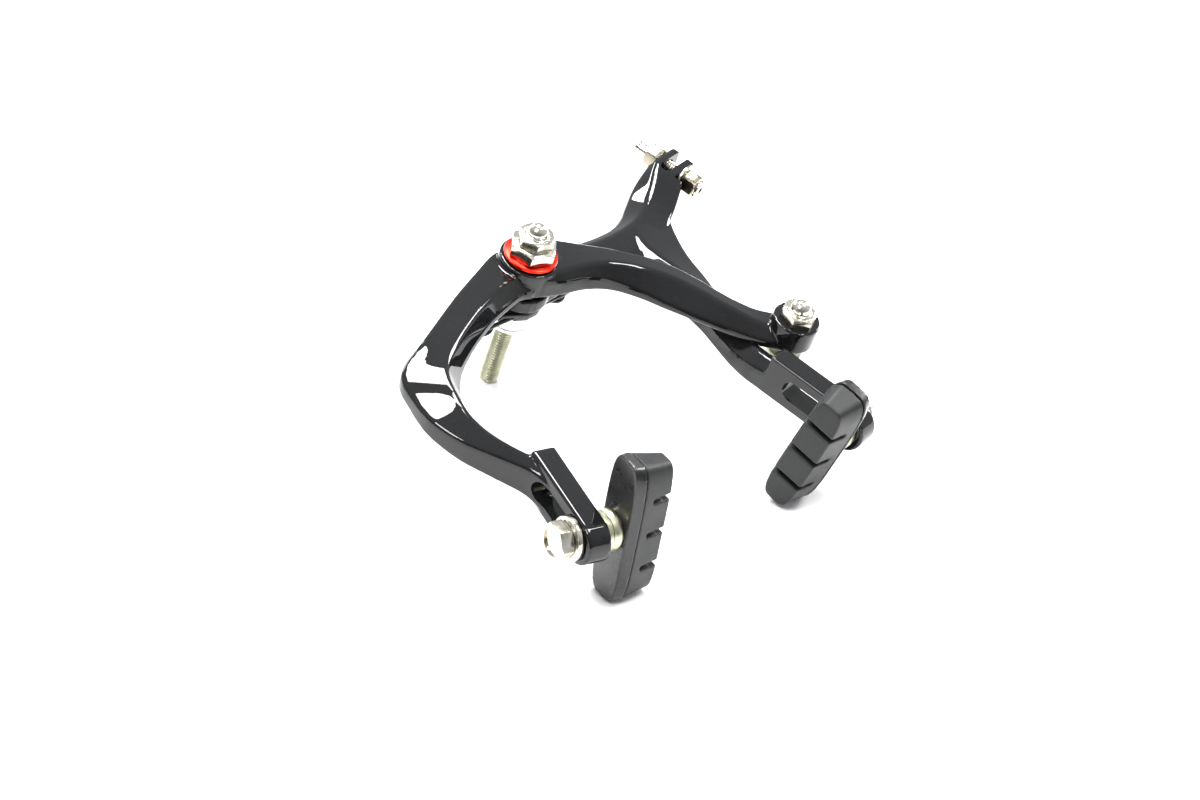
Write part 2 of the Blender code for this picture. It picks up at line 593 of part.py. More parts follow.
def pad_profile(side, near, far, near_height, far_height, length):
    """A bar along Z with rounded corners, from one distance out to another, changing its height."""
    work = bmesh.new()
    rings = []
    ends = 1.4 * PAD_CORNER
    quarters = ((1, 1), (-1, 1), (-1, -1), (1, -1))
    for x, height, long in ((near, near_height, length - 3 * MM), (far, far_height, length)):
        ring = []
        for quarter, (up, ahead) in enumerate(quarters):
            for step in range(4):
                angle = math.radians(90 * quarter + 30 * step)
                y = up * (height / 2 - PAD_CORNER) + PAD_CORNER * math.cos(angle)
                z = ahead * (long / 2 - ends) + ends * math.sin(angle)
                ring.append(work.verts.new((side * x, y, z)))
        rings.append(work.faces.new(ring))
    bmesh.ops.bridge_loops(work, edges=rings[0].edges[:] + rings[1].edges[:])
    bmesh.ops.recalc_face_normals(work, faces=work.faces)
    mesh = bpy.data.meshes.new("pad")
    work.to_mesh(mesh)
    work.free()
    return mesh_object("pad", mesh, CUTTERS)


def across(obj, side):
    """Turns a piece modelled along +Z so that it points outwards from the wheel."""
    obj.data.transform(Matrix.Rotation(side * math.pi / 2, 4, "Y"))
    return obj


def rubber_pad(side, word, swivel):
    rubber = pad_profile(side, PAD_FACE_X, PAD_FACE_X + RUBBER_THICK, PAD_FACE_HEIGHT, PAD_BASE_HEIGHT,
                         PAD_LENGTH)
    pitch = PAD_LENGTH / (GROOVE_COUNT + 1)
    for index in range(GROOVE_COUNT):
        z = (index - (GROOVE_COUNT - 1) / 2) * pitch
        cut(rubber, box((2 * GROOVE_DEPTH, 2 * PAD_BASE_HEIGHT, GROOVE_WIDTH), (side * PAD_FACE_X, 0, z)))
    return show(keep(rubber), f"{word}_pad", RUBBER, swivel)


def pad_holder(side, word, swivel, inner, stud_tip):
    """Steel backing of the rubber, with its stud."""
    outer = inner + HOLDER_PLATE_THICK
    holder = pad_profile(side, inner, outer, PAD_BASE_HEIGHT + 0.6 * MM, PAD_BASE_HEIGHT - 1.2 * MM,
                         PAD_LENGTH + 0.6 * MM)
    stud = cylinder(STUD_RADIUS, outer - 1 * MM, stud_tip, sides=24, chamfer=0.4 * MM)
    join(holder, across(stud, side))
    return show(keep(holder), f"{word}_pad_holder", HOLDER_PAINT, swivel)


def brake_shoe(side, word, arm_parent, turn):
    """One shoe with its washers and nut. side is -1 on the left and +1 on the right."""
    carriage = empty(f"{word}_shoe_slide", arm_parent, (0, SHOE_Y, SHOE_Z))
    swivel = empty(f"{word}_shoe_swivel", carriage, (0, 0, 0), (turn, 0, 0))
    holder_inner = PAD_FACE_X + RUBBER_THICK + FINE_GAP
    washer_inner = TAB_INNER_X + TAB_THICK + FINE_GAP
    washer_outer = washer_inner + SHOE_WASHER_THICK
    nut_inner = washer_outer + FINE_GAP
    rubber_pad(side, word, swivel)
    pad_holder(side, word, swivel, holder_inner, nut_inner + SHOE_NUT_THICK - CAP_ROOF - FINE_GAP)

    ball_inner = holder_inner + HOLDER_PLATE_THICK + FINE_GAP
    ball_outer = ball_inner + BALL_SHARE * BALL_SEAT_THICK
    ball = cylinder(BALL_WASHER_RADIUS, ball_inner, ball_outer, sides=32, top_radius=CUP_WASHER_RADIUS)
    cut(ball, bore_cutter(STUD_BORE))
    show(across(keep(ball), side), f"{word}_ball_washer", STEEL, carriage)
    cup = washer(f"{word}_cup_washer", CUP_WASHER_RADIUS, STUD_BORE, ball_outer + FINE_GAP,
                 TAB_INNER_X - FINE_GAP, STEEL, carriage)
    outer = washer(f"{word}_outer_washer", SHOE_WASHER_RADIUS, STUD_BORE, washer_inner, washer_outer,
                   CHROME, carriage, chamfer=0.3 * MM)
    nut = cap_nut(f"{word}_shoe_nut", SHOE_NUT_FLATS, nut_inner, SHOE_NUT_THICK, SHOE_DOME_RADIUS, STUD_BORE,
                  CHROME, carriage, turn=SHOE_NUT_TURN)
    for piece in (cup, outer, nut):
        across(piece, side)


def cable_anchor(parent):
    """Pinch bolt through the end of the front arm, with its clamp plate and cap nut."""
    pivot = empty("anchor_swivel", parent, (ANCHOR_X, ANCHOR_Y, 0))
    clamp_rear = ANCHOR_BOSS_FRONT + 2 * CABLE_HOLE_RADIUS
    nut_rear = clamp_rear + CLAMP_PLATE_THICK + FINE_GAP
    head_front = ANCHOR_BOSS_REAR - FINE_GAP
    bolt = cylinder(ANCHOR_BOLT_RADIUS, head_front - 1 * MM, nut_rear + ANCHOR_NUT_THICK - CAP_ROOF - FINE_GAP,
                    sides=24, chamfer=0.3 * MM)
    head = cylinder(ANCHOR_HEAD_RADIUS, head_front - ANCHOR_HEAD_THICK, head_front, sides=32, chamfer=0.6 * MM)
    join(bolt, head)
    hole = bore_cutter(CABLE_HOLE_RADIUS, sides=16)
    hole.data.transform(Matrix.Translation((0, 0, ANCHOR_BOSS_FRONT + CABLE_HOLE_RADIUS))
                        @ Matrix.Rotation(math.pi / 2, 4, "X"))
    cut(bolt, hole)
    show(keep(bolt), "anchor_bolt", STEEL, pivot)
    outline = [(-0.933, -0.9), (-1.4, 0), (-0.933, 0.9), (0.167, 1), (1, 0), (0.167, -1)]
    clamp = plate(scaled(outline, CLAMP_PLATE_HALF, CLAMP_PLATE_HALF), clamp_rear,
                  clamp_rear + CLAMP_PLATE_THICK, bevel=0.3 * MM, steps=4)
    cut(clamp, bore_cutter(ANCHOR_BORE))
    show(keep(clamp), "anchor_clamp_plate", CHROME, pivot)
    cap_nut("anchor_nut", ANCHOR_NUT_FLATS, nut_rear, ANCHOR_NUT_THICK, ANCHOR_DOME_RADIUS, ANCHOR_BORE,
            CHROME, pivot, turn=ANCHOR_NUT_TURN)


def adjuster(parent):
    """Barrel through both fork lugs, moved by the hexagon above and held by the locknut below."""
    axis = empty("adjuster_axis", parent, (FORK_X, FORK_GAP_Y, FORK_Z), (-math.pi / 2, 0, 0))
    lug = FORK_GAP / 2 + LUG_THICK
    neck = BARREL_ABOVE - BARREL_NECK
    barrel = cylinder(BARREL_RADIUS, -BARREL_BELOW, neck, sides=24)
    join(barrel, cylinder(0.84 * BARREL_RADIUS, neck - 0.5 * MM, BARREL_ABOVE, sides=24, chamfer=0.3 * MM))
    cut(barrel, bore_cutter(BARREL_BORE, sides=16))
    show(keep(barrel), "adjuster_barrel", CHROME, axis)

    def nut(name, flats, rear, front):
        body = hexagon(flats, rear, front, turn=ADJUSTER_NUT_TURN)
        cut(body, bore_cutter(BARREL_RUN))
        return show(keep(body), name, DARK_STEEL, axis)

    seat = lug + FINE_GAP
    nut("adjuster_nut", ADJUSTER_NUT_FLATS, seat, seat + ADJUSTER_NUT_THICK)
    washer("adjuster_washer", ADJUSTER_WASHER_RADIUS, BARREL_RUN, -seat - ADJUSTER_WASHER_THICK, -seat,
           CHROME, axis)
    below = -seat - ADJUSTER_WASHER_THICK - FINE_GAP
    nut("adjuster_locknut", LOCKNUT_FLATS, below - LOCKNUT_THICK, below)


def world_points(names):
    bpy.context.view_layer.update()
    found = []
    for name in names:
        obj = bpy.data.objects[name]
        found.append([obj.matrix_world @ v.co for v in obj.data.vertices])
    return found


def lay_down(frame):
    """Turns the caliper so that the bolt's tail and both pads' rear ends touch the ground."""
    feet = world_points(("centre_bolt", "left_pad_holder", "right_pad_holder"))
    up = Vector((0, 0, 1))
    for _ in range(6):
        tail, left, right = (min(points, key=lambda p: p.dot(up)) for points in feet)
        up = (left - tail).cross(right - tail).normalized()
        if up.z < 0:
            up.negate()
    ahead = (Vector((0, 1, 0)) - up * up.y).normalized()
    side = ahead.cross(up)
    frame.matrix_world = Matrix((side, ahead, up)).to_4x4()
    everything = [p for points in world_points([o.name for o in CALIPER.objects if o.data]) for p in points]
    low = Vector([min(p[i] for p in everything) for i in range(3)])
    high = Vector([max(p[i] for p in everything) for i in range(3)])
    middle = (low + high) / 2
    frame.location -= Vector((middle.x, middle.y, low.z))


def build():
    frame = empty("caliper_frame")
    front = empty("c_arm_pivot", frame, turn=(0, 0, -C_ARM_OPEN))
    rear = empty("y_arm_pivot", frame, turn=(0, 0, Y_ARM_OPEN))
    c_arm(front)
    y_arm(rear)
    pivot_stack(frame)
    spring_holder(frame)
    return_spring(frame)
    brake_shoe(-1, "left", front, LEFT_PAD_TURN)
    brake_shoe(1, "right", rear, RIGHT_PAD_TURN)
    cable_anchor(front)
    adjuster(rear)
    lay_down(frame)


build()
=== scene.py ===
# %% [markdown]
# # Side-pull rim brake caliper
# The CAD model gives every place and joint. This notebook dresses it: two forged arms, plated nuts,
# threaded bolts, a wire spring and rubber pads, each modelled around the solid it stands for.

# %% Load the frame
import json
import math

import bmesh
import bpy
from mathutils import Matrix, Vector


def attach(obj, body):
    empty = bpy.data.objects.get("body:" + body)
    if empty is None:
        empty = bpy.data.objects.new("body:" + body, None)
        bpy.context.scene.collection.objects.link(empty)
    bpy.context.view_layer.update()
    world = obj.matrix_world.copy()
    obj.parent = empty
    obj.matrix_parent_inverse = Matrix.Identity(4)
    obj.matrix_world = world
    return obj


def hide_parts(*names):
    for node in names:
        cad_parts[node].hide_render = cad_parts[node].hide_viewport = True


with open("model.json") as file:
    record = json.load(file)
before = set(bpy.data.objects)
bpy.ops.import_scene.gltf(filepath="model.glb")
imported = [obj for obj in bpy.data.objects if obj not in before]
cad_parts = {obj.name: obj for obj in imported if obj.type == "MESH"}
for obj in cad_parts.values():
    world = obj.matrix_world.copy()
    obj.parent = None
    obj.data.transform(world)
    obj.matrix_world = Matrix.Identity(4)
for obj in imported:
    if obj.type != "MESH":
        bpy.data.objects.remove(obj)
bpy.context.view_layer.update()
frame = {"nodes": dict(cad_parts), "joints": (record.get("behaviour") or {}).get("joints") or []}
MM = 0.001

# %% [markdown]
# ## Frames to model in
# A caliper is easiest to draw flat, seen from the front, with the pivot bolt at the origin. The joints
# tell where that drawing lies: Z runs forwards along the bolt, and each shoe's slide points up its own
# arm. Every bolt and stud gets a drawing frame of its own too, with Z along it.

# %% Frames from the joints
joints = {joint["name"]: joint for joint in frame["joints"]}
LEFT_PAD_TURN, RIGHT_PAD_TURN = math.radians(12), math.radians(8)


def frame_at(origin, up, ahead):
    """A matrix whose Y is up and whose Z is ahead."""
    z = Vector(ahead).normalized()
    x = Vector(up).cross(z).normalized()
    y = z.cross(x)
    turn = Matrix((x, y, z)).transposed().to_4x4()
    return Matrix.Translation(origin) @ turn


def span(node, matrix):
    """The lowest and highest corners, in mm, of a CAD node in a drawing frame."""
    back = matrix.inverted()
    points = [back @ v.co / MM for v in frame["nodes"][node].data.vertices]
    return [Vector([pick(p[axis] for p in points) for axis in range(3)]) for pick in (min, max)]


pivot_at = Vector(joints["front_arm_pivot"]["pos_m"])
bolt_line = Vector(joints["front_arm_pivot"]["axis"])
left_up = Vector(joints["left_shoe_height"]["axis"])
right_up = Vector(joints["right_shoe_height"]["axis"])
CALIPER = frame_at(pivot_at, (0, bolt_line.z, -bolt_line.y), bolt_line)
FRONT_ARM = frame_at(pivot_at, left_up, bolt_line)
REAR_ARM = frame_at(pivot_at, right_up, bolt_line)
ANCHOR = frame_at(joints["anchor_turn"]["pos_m"], left_up, bolt_line)
barrel_line = Vector(joints["adjuster_turn"]["axis"])
ADJUSTER = frame_at(joints["adjuster_turn"]["pos_m"], bolt_line, barrel_line)
LEFT_STUD = frame_at(joints["left_shoe_turn"]["pos_m"], left_up, -FRONT_ARM.col[0].xyz)
RIGHT_STUD = frame_at(joints["right_shoe_turn"]["pos_m"], right_up, REAR_ARM.col[0].xyz)
LEFT_SHOE = LEFT_STUD @ Matrix.Rotation(LEFT_PAD_TURN, 4, "Z")
RIGHT_SHOE = RIGHT_STUD @ Matrix.Rotation(RIGHT_PAD_TURN, 4, "Z")
print("front arm open by", round(math.degrees(CALIPER.col[1].xyz.angle(FRONT_ARM.col[1].xyz)), 1), "degrees")
for side, shoe in (("left", LEFT_SHOE), ("right", RIGHT_SHOE)):
    print(side, "pad", [[round(v, 1) for v in corner] for corner in span(side + "_pad", shoe)], "mm")

# %% [markdown]
# ## Camera, table and light
# A long lens far away keeps the parallel edges of such a small part nearly parallel. Everything stands on
# a white table in a room that is bright on one side and dim on the other, so that polished metal has
# something dark to mirror. Small, very bright soft boxes draw the crisp white lines on the black paint:
# a big dim light would only turn all of it grey.

# %% Camera
LENS = 100
AIM = Vector((-0.0077, 0.0018, 0.0171))
VIEW_AZIMUTH, VIEW_ELEVATION, VIEW_ROLL = math.radians(37.87), math.radians(33.75), math.radians(-9.94)
VIEW_DISTANCE = 0.987
camera_data = bpy.data.cameras.new("camera")
camera_data.lens = LENS
camera = bpy.data.objects.new("camera", camera_data)
bpy.context.scene.collection.objects.link(camera)
level = Vector((math.cos(VIEW_AZIMUTH), math.sin(VIEW_AZIMUTH), 0)) * math.cos(VIEW_ELEVATION)
look = level - Vector((0, 0, math.sin(VIEW_ELEVATION)))
upright = look.to_track_quat("-Z", "Y").to_matrix().to_4x4()
eye = Matrix.Translation(AIM - look * VIEW_DISTANCE)
camera.matrix_world = eye @ upright @ Matrix.Rotation(-VIEW_ROLL, 4, "Z")
bpy.context.scene.camera = camera
print("camera at", [round(v, 3) for v in camera.matrix_world.translation])

# %% Table, room and soft boxes
TABLE_SIZE, TABLE_GAP = 6, 0.0003
ROOM_TINT, BRIGHT_SIDE = (0.97, 0.985, 1.0), (0.64, 0.50, 0.58)
DIM_FROM, FULL_FROM, DIMMEST, FULL = -0.7, 0.35, 0.16, 0.8
bpy.ops.object.select_all(action="DESELECT")
bpy.ops.mesh.primitive_plane_add(size=TABLE_SIZE, location=(0, 0, -TABLE_GAP))
table = bpy.context.object
table.name = "table_top"

room = bpy.data.worlds.new("white_room")
bpy.context.scene.world = room
room.use_nodes = True
tree = room.node_tree
tree.nodes["Background"].inputs["Color"].default_value = (*ROOM_TINT, 1)
facing = tree.nodes.new("ShaderNodeVectorMath")
facing.operation = "DOT_PRODUCT"
facing.inputs[1].default_value = BRIGHT_SIDE
tree.links.new(tree.nodes.new("ShaderNodeTexCoord").outputs["Generated"], facing.inputs[0])
brightness = tree.nodes.new("ShaderNodeMapRange")
steps = {"From Min": DIM_FROM, "From Max": FULL_FROM, "To Min": DIMMEST, "To Max": FULL}
for key, value in steps.items():
    brightness.inputs[key].default_value = value
tree.links.new(facing.outputs["Value"], brightness.inputs["Value"])
tree.links.new(brightness.outputs["Result"], tree.nodes["Background"].inputs["Strength"])
bpy.context.scene.view_settings.view_transform = "Standard"


def soft_box(name, size, place, power):
    """A rectangular area light that faces the caliper."""
    data = bpy.data.lights.new(name, "AREA")
    data.shape = "RECTANGLE"
    data.size, data.size_y = size
    data.energy = power
    light = bpy.data.objects.new(name, data)
    light.location = place
    light.rotation_euler = (AIM - Vector(place)).to_track_quat("-Z", "Y").to_euler()
    bpy.context.scene.collection.objects.link(light)
    print(name, power, "W")


soft_box("elbow_key", (0.42, 0.36), (0.33, 0.42, 1.03), 16)
soft_box("back_strip", (0.5, 0.1), (0.15, 1.15, 0.5), 6)
soft_box("ridge_strip", (0.26, 0.5), (1.07, -0.09, 0.53), 11)
soft_box("branch_strip", (0.3, 0.2), (0.42, -0.34, 1.08), 6)
soft_box("left_top", (0.42, 0.42), (-0.62, 0.0, 1.0), 13)

# %% [markdown]
# ## Shader arithmetic
# A shader is a small program. Wrapping a socket in a class with Python's operators lets a mask read as
# a formula, and one `node` method makes every other node from its type, settings and inputs.

# %% Shader kit


class Value:
    """A socket of a finish, which adds and multiplies like a number."""

    def __init__(self, finish, socket):
        self.finish, self.socket = finish, socket

    def __add__(self, other):
        return self.finish.node("Math", {"operation": "ADD"}, {0: self, 1: other})

    def __mul__(self, other):
        return self.finish.node("Math", {"operation": "MULTIPLY"}, {0: self, 1: other})

    __radd__ = __add__
    __rmul__ = __mul__


class Finish:
    """A material with a Principled shader, built a node at a time."""

    def __init__(self, name, **sockets):
        self.material = bpy.data.materials.new(name)
        self.material.use_nodes = True
        self.tree = self.material.node_tree
        self.shader = self.tree.nodes["Principled BSDF"]
        self.place = Value(self, self.tree.nodes.new("ShaderNodeTexCoord").outputs["Object"])
        self.set(**sockets)

    def feed(self, socket, value):
        """Links a value to a socket, or sets the socket to a number, colour or vector."""
        if isinstance(value, Value):
            self.tree.links.new(value.socket, socket)
        elif isinstance(value, tuple) and socket.type == "RGBA":
            socket.default_value = (*value, 1)
        else:
            socket.default_value = value

    def set(self, **sockets):
        """Feeds the shader's sockets by name, with _ for a space."""
        for name, value in sockets.items():
            self.feed(self.shader.inputs[name.replace("_", " ")], value)

    def node(self, kind, settings, inputs, output=0):
        """Makes any node from its type, its settings and what its sockets get."""
        made = self.tree.nodes.new("ShaderNode" + kind)
        for key, value in settings.items():
            setattr(made, key, value)
        for key, value in inputs.items():
            self.feed(made.inputs[key], value)
        return Value(self, made.outputs[output])

    def noise(self, scale, detail=3.0, roughness=0.5, vector=None):
        """Grey noise, with its scale in waves per metre."""
        sockets = {"Vector": vector or self.place, "Scale": scale, "Detail": detail, "Roughness": roughness}
        return self.node("TexNoise", {}, sockets)

    def spread(self, value, low, high):
        """0 below low, 1 above high."""
        return self.node("MapRange", {}, {"Value": value, "From Min": low, "From Max": high})

    def mix(self, share, first, second):
        """A colour between two."""
        return self.node("Mix", {"data_type": "RGBA"}, {0: share, 6: first, 7: second}, output=2)

    def bump(self, height, depth):
        """Feeds the surface's normal from a height map, with the depth in metres."""
        self.set(Normal=self.node("Bump", {}, {"Height": height, "Distance": depth, "Strength": 1.0}))

    def in_frame(self, matrix, stretch):
        """Object coordinates in one of the drawing frames, stretched along its axes."""
        back = matrix.inverted()
        turn = {"Location": back.translation, "Rotation": back.to_euler()}
        local = self.node("Mapping", {"vector_type": "POINT"}, {"Vector": self.place, **turn})
        return self.node("VectorMath", {"operation": "MULTIPLY"}, {0: local, 1: stretch})


# %% [markdown]
# ## Gloss black paint
# The arms are forged aluminium under thick wet-look lacquer. The lacquer is a clear coat over a nearly
# black base. Real lacquer is never flat: a long shallow ripple bends each reflection, a finer one
# gives orange peel, and handling leaves faint patches that are less shiny.

# %% Gloss black
BASE_DARK, BASE_PALE, DUST = (0.004, 0.004, 0.004), (0.008, 0.0085, 0.0095), (0.10, 0.10, 0.10)
LONG_RIPPLE, ORANGE_PEEL, RIPPLE_DEPTH = 240, 1500, 0.06 * MM


def gloss_black(name):
    """Thick lacquer over a nearly black base, with a little dust in it."""
    paint = Finish(name, Coat_Weight=1.0, Coat_Roughness=0.02, Coat_IOR=1.45, Specular_IOR_Level=0.0)
    patches = paint.noise(70, 4)
    dust = paint.spread(paint.noise(2600, 1), 0.70, 0.78)
    base = paint.mix(patches, BASE_DARK, BASE_PALE)
    paint.set(Base_Color=paint.mix(dust * 0.25, base, DUST))
    paint.set(Roughness=paint.spread(patches, 0.2, 0.9) * 0.14 + dust * 0.1 + 0.10)
    paint.bump(paint.noise(LONG_RIPPLE, 2) + paint.noise(ORANGE_PEEL, 2) * 0.12, RIPPLE_DEPTH)
    return paint.material


BLACK = gloss_black("gloss_black")
print("made", BLACK.name)

# %% [markdown]
# ## Plated metals
# Nickel plate shows the turning and polishing marks of the steel below it: fine lines round each nut's
# axis, and a haze that varies from face to face. Zinc plate is duller and yellow-green. Both need a
# pattern that turns round the piece's own axis, so the finish is made in that piece's drawing frame.

# %% Plated metals
BRIGHT, WARM = (0.72, 0.70, 0.63), (0.44, 0.40, 0.30)
YELLOWISH, DULL = (0.58, 0.57, 0.42), (0.40, 0.40, 0.26)
BROWNED, BROWN_DEEP = (0.36, 0.33, 0.26), (0.18, 0.15, 0.10)
POLISHED, GREYED = (0.84, 0.84, 0.84), (0.74, 0.74, 0.75)
RED_DYE, RED_DEEP = (0.85, 0.035, 0.02), (0.66, 0.02, 0.012)
ACROSS_AXIS, SCRATCH_STRETCH, MARK_DEPTH = (1, 1, 0), (9000, 1400, 1400), 0.008 * MM


def plated(name, matrix, colour, tarnish, roughness=0.10, lines=5200.0, haze=0.10):
    """A metal with fine turning lines round its frame's Z axis, hazy patches and short scratches."""
    metal = Finish(name, Metallic=1.0)
    local = metal.in_frame(matrix, (1, 1, 1))
    flat = metal.node("VectorMath", {"operation": "MULTIPLY"}, {0: local, 1: ACROSS_AXIS})
    radius = metal.node("VectorMath", {"operation": "LENGTH"}, {0: flat}, output=1)
    wobble = metal.noise(300, 2) * 9
    turning = metal.node("Math", {"operation": "SINE"}, {0: radius * lines + wobble})
    patches = metal.noise(330, 4)
    scratches = metal.noise(1, 2, 0.6, metal.in_frame(matrix, SCRATCH_STRETCH))
    scratches = metal.spread(scratches, 0.62, 0.8)
    metal.set(Base_Color=metal.mix(metal.spread(patches, 0.45, 0.72), colour, tarnish))
    metal.set(Roughness=patches * haze + scratches * 0.14 + roughness)
    metal.bump(turning * 0.3 + scratches * 1.4 + metal.noise(900, 2), MARK_DEPTH)
    return metal.material


def nickel(word, matrix):
    return plated("nickel_" + word, matrix, BRIGHT, WARM)


def zinc(word, matrix):
    return plated("yellow_zinc" + word, matrix, YELLOWISH, DULL, roughness=0.24, haze=0.2)


NICKEL = nickel("pivot", CALIPER)
NICKEL_ANCHOR = nickel("anchor", ANCHOR)
NICKEL_BARREL = nickel("barrel", ADJUSTER)
NICKEL_LEFT = nickel("left_stud", LEFT_STUD)
NICKEL_RIGHT = nickel("right_stud", RIGHT_STUD)
ZINC = zinc("", CALIPER)
ZINC_ANCHOR = zinc("_anchor", ANCHOR)
ZINC_LEFT = zinc("_left", LEFT_STUD)
ZINC_RIGHT = zinc("_right", RIGHT_STUD)
DARK_NUT = plated("dark_nut", ADJUSTER, BROWNED, BROWN_DEEP, roughness=0.14)
SILVER = plated("turned_silver", CALIPER, POLISHED, GREYED, roughness=0.24, lines=9000)
RED = plated("red_anodised", CALIPER, RED_DYE, RED_DEEP, roughness=0.2, lines=7000)
print("plated metals from", NICKEL.name, "to", RED.name)

# %% [markdown]
# ## Rubber, satin paint and spring wire
# Moulded rubber is matt, with a fine pebbled skin, a bloom of paler patches and rubbed edges. The shoe
# trays are dipped in satin paint, which keeps a slight orange peel. Spring wire is drawn, so its faint
# lines run along it, but at this size a fine grain under a thin black coat says the same.

# %% Rubber, satin and wire


def worn_black(name, dark, pale, roughness, grain, depth, coat=0.0):
    """A dark finish with paler patches and a fine grain, in waves and depth by the metre."""
    finish = Finish(name, Coat_Weight=coat, Coat_Roughness=0.15, Specular_IOR_Level=0.4)
    bloom = finish.spread(finish.noise(120, 5, 0.6), 0.38, 0.72)
    specks = finish.spread(finish.noise(grain, 2), 0.60, 0.75)
    finish.set(Base_Color=finish.mix(bloom * 0.7 + specks * 0.2, dark, pale))
    finish.set(Roughness=bloom * 0.14 + specks * 0.06 + roughness)
    finish.bump(finish.noise(grain, 3) + finish.noise(grain / 6, 2) * 0.5, depth)
    return finish.material


RUBBER = worn_black("moulded_rubber", (0.0050, 0.0055, 0.0058), (0.013, 0.0135, 0.014), 0.42, 3200, 0.00006)
SATIN = worn_black("satin_black", (0.007, 0.007, 0.008), (0.016, 0.016, 0.017), 0.26, 1800, 0.00002, 0.3)
WIRE = worn_black("spring_wire", (0.008, 0.008, 0.009), (0.02, 0.02, 0.022), 0.22, 2600, 0.00001, 0.3)
print("made", RUBBER.name, SATIN.name, WIRE.name)

# %% [markdown]
# ## Modelling helpers
# Each piece starts as a primitive at its size, is shaped in edit mode or by a modifier, and is then
# turned into place by its mesh, so that the finished object stays at the origin.

# %% Helpers
SHARP = math.radians(38)
ABOUT_X, ABOUT_Y = (Matrix.Rotation(math.pi / 2, 4, axis) for axis in "XY")


def alone():
    """Back to object mode with nothing selected."""
    if bpy.context.mode != "OBJECT":
        bpy.ops.object.mode_set(mode="OBJECT")
    bpy.ops.object.select_all(action="DESELECT")


def work_on(piece):
    """Makes one piece the only selected and the active one."""
    alone()
    piece.select_set(True)
    bpy.context.view_layer.objects.active = piece
    return piece


def modify(piece, kind, **settings):
    """Adds a modifier and applies it."""
    work_on(piece)
    step = piece.modifiers.new(kind.lower(), kind)
    for key, value in settings.items():
        setattr(step, key, value)
    bpy.ops.object.modifier_apply(modifier=step.name)
    return piece


def carve(piece, *tools, operation="DIFFERENCE", solver="EXACT"):
    """Cuts, joins or intersects, and throws the tools away."""
    for tool in tools:
        modify(piece, "BOOLEAN", object=tool, operation=operation, solver=solver)
        bpy.data.objects.remove(tool, do_unlink=True)
    return piece


def mend(piece):
    """Merges doubles and turns all faces outwards."""
    work_on(piece)
    bpy.ops.object.mode_set(mode="EDIT")
    bpy.ops.mesh.select_all(action="SELECT")
    bpy.ops.mesh.remove_doubles(threshold=1e-6)
    bpy.ops.mesh.normals_make_consistent(inside=False)
    bpy.ops.object.mode_set(mode="OBJECT")
    return piece


def rounded(piece, width, steps=2, angle=40):
    """Rounds every edge sharper than an angle. The width is in mm."""
    return modify(piece, "BEVEL", width=width * MM, segments=steps, limit_method="ANGLE",
                  angle_limit=math.radians(angle), use_clamp_overlap=True, miter_outer="MITER_ARC")


def moved(piece, matrix):
    """Moves or turns the mesh and not its object, which stays at the origin."""
    piece.data.transform(matrix)
    return piece


def rod(radius, low, high, at=(0, 0), sides=64):
    """A cylinder along Z between two heights, in mm."""
    alone()
    middle = Vector((*at, (low + high) / 2)) * MM
    size = {"radius": radius * MM, "depth": (high - low) * MM}
    bpy.ops.mesh.primitive_cylinder_add(vertices=sides, location=middle, **size)
    bpy.ops.object.transform_apply(location=True, rotation=False, scale=False)
    return bpy.context.object


def block(low, high):
    """A box between two corners, in mm."""
    alone()
    low, high = Vector(low), Vector(high)
    bpy.ops.mesh.primitive_cube_add(size=1, location=(low + high) / 2 * MM)
    bpy.context.object.scale = (high - low) * MM
    bpy.ops.object.transform_apply(location=True, rotation=False, scale=True)
    return bpy.context.object


def turned(profile, sides=64):
    """Spins a closed outline of (radius, height) points, in mm, round the Z axis."""
    alone()
    bpy.ops.mesh.primitive_circle_add(vertices=len(profile), radius=MM, fill_type="NOTHING")
    piece = bpy.context.object
    for vertex, (radius, height) in zip(piece.data.vertices, profile):
        vertex.co = Vector((radius, 0, height)) * MM
    bpy.ops.object.mode_set(mode="EDIT")
    bpy.ops.mesh.select_all(action="SELECT")
    bpy.ops.mesh.spin(steps=sides, angle=math.tau, center=(0, 0, 0), axis=(0, 0, 1))
    bpy.ops.object.mode_set(mode="OBJECT")
    return mend(piece)


def place(piece, matrix, name, node, slot, finish, body, sharp=SHARP):
    """Finishes a piece: its place, name, shading, finish, body and the CAD node that it stands for."""
    work_on(moved(piece, matrix))
    piece.name = piece.data.name = name
    piece.data.materials.clear()
    piece.data.materials.append(finish)
    bpy.ops.object.shade_smooth_by_angle(angle=sharp)
    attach(piece, body)
    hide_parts(node)
    print(name, len(piece.data.polygons), "faces")
    return piece


# %% [markdown]
# ## Forged arms
# Each arm is a bar whose section changes as it goes: a broad front, a crisp ridge, and a flank that falls
# away. A box model would look cast and dead. Here a limb is a ten-sided cylinder cut into rings, and each
# ring takes its five corners from a station, with smooth values in between. The limbs, bosses and shoe
# tabs are then fused by a fine voxel remesh and smoothed a little, which gives every inner corner the
# small radius of a forging. Bores and slots are cut last, so their edges stay sharp.

# %% Limbs
VOXEL = 0.42 * MM
CORNERS, CORNER_CUT, MOST_CUT = 5, 0.6, 0.4
SIDES, RINGS_APART, SOFTENING = 2 * CORNERS, 8, 9


def between(p, q, r, s, t):
    """A smooth step from q to r, with the slope that p and s give."""
    bend, twist = 2 * p - 5 * q + 4 * r - s, 3 * q - p - 3 * r + s
    return 0.5 * (2 * q + (r - p) * t + bend * t ** 2 + twist * t ** 3)


def smooth_through(rows, steps):
    """The rows with smooth ones between them."""
    ends = [rows[0]] + list(rows) + [rows[-1]]
    out = []
    for k in range(len(rows) - 1):
        for step in range(steps):
            out.append([between(*four, step / steps) for four in zip(*ends[k:k + 4])])
    return out + [list(rows[-1])]


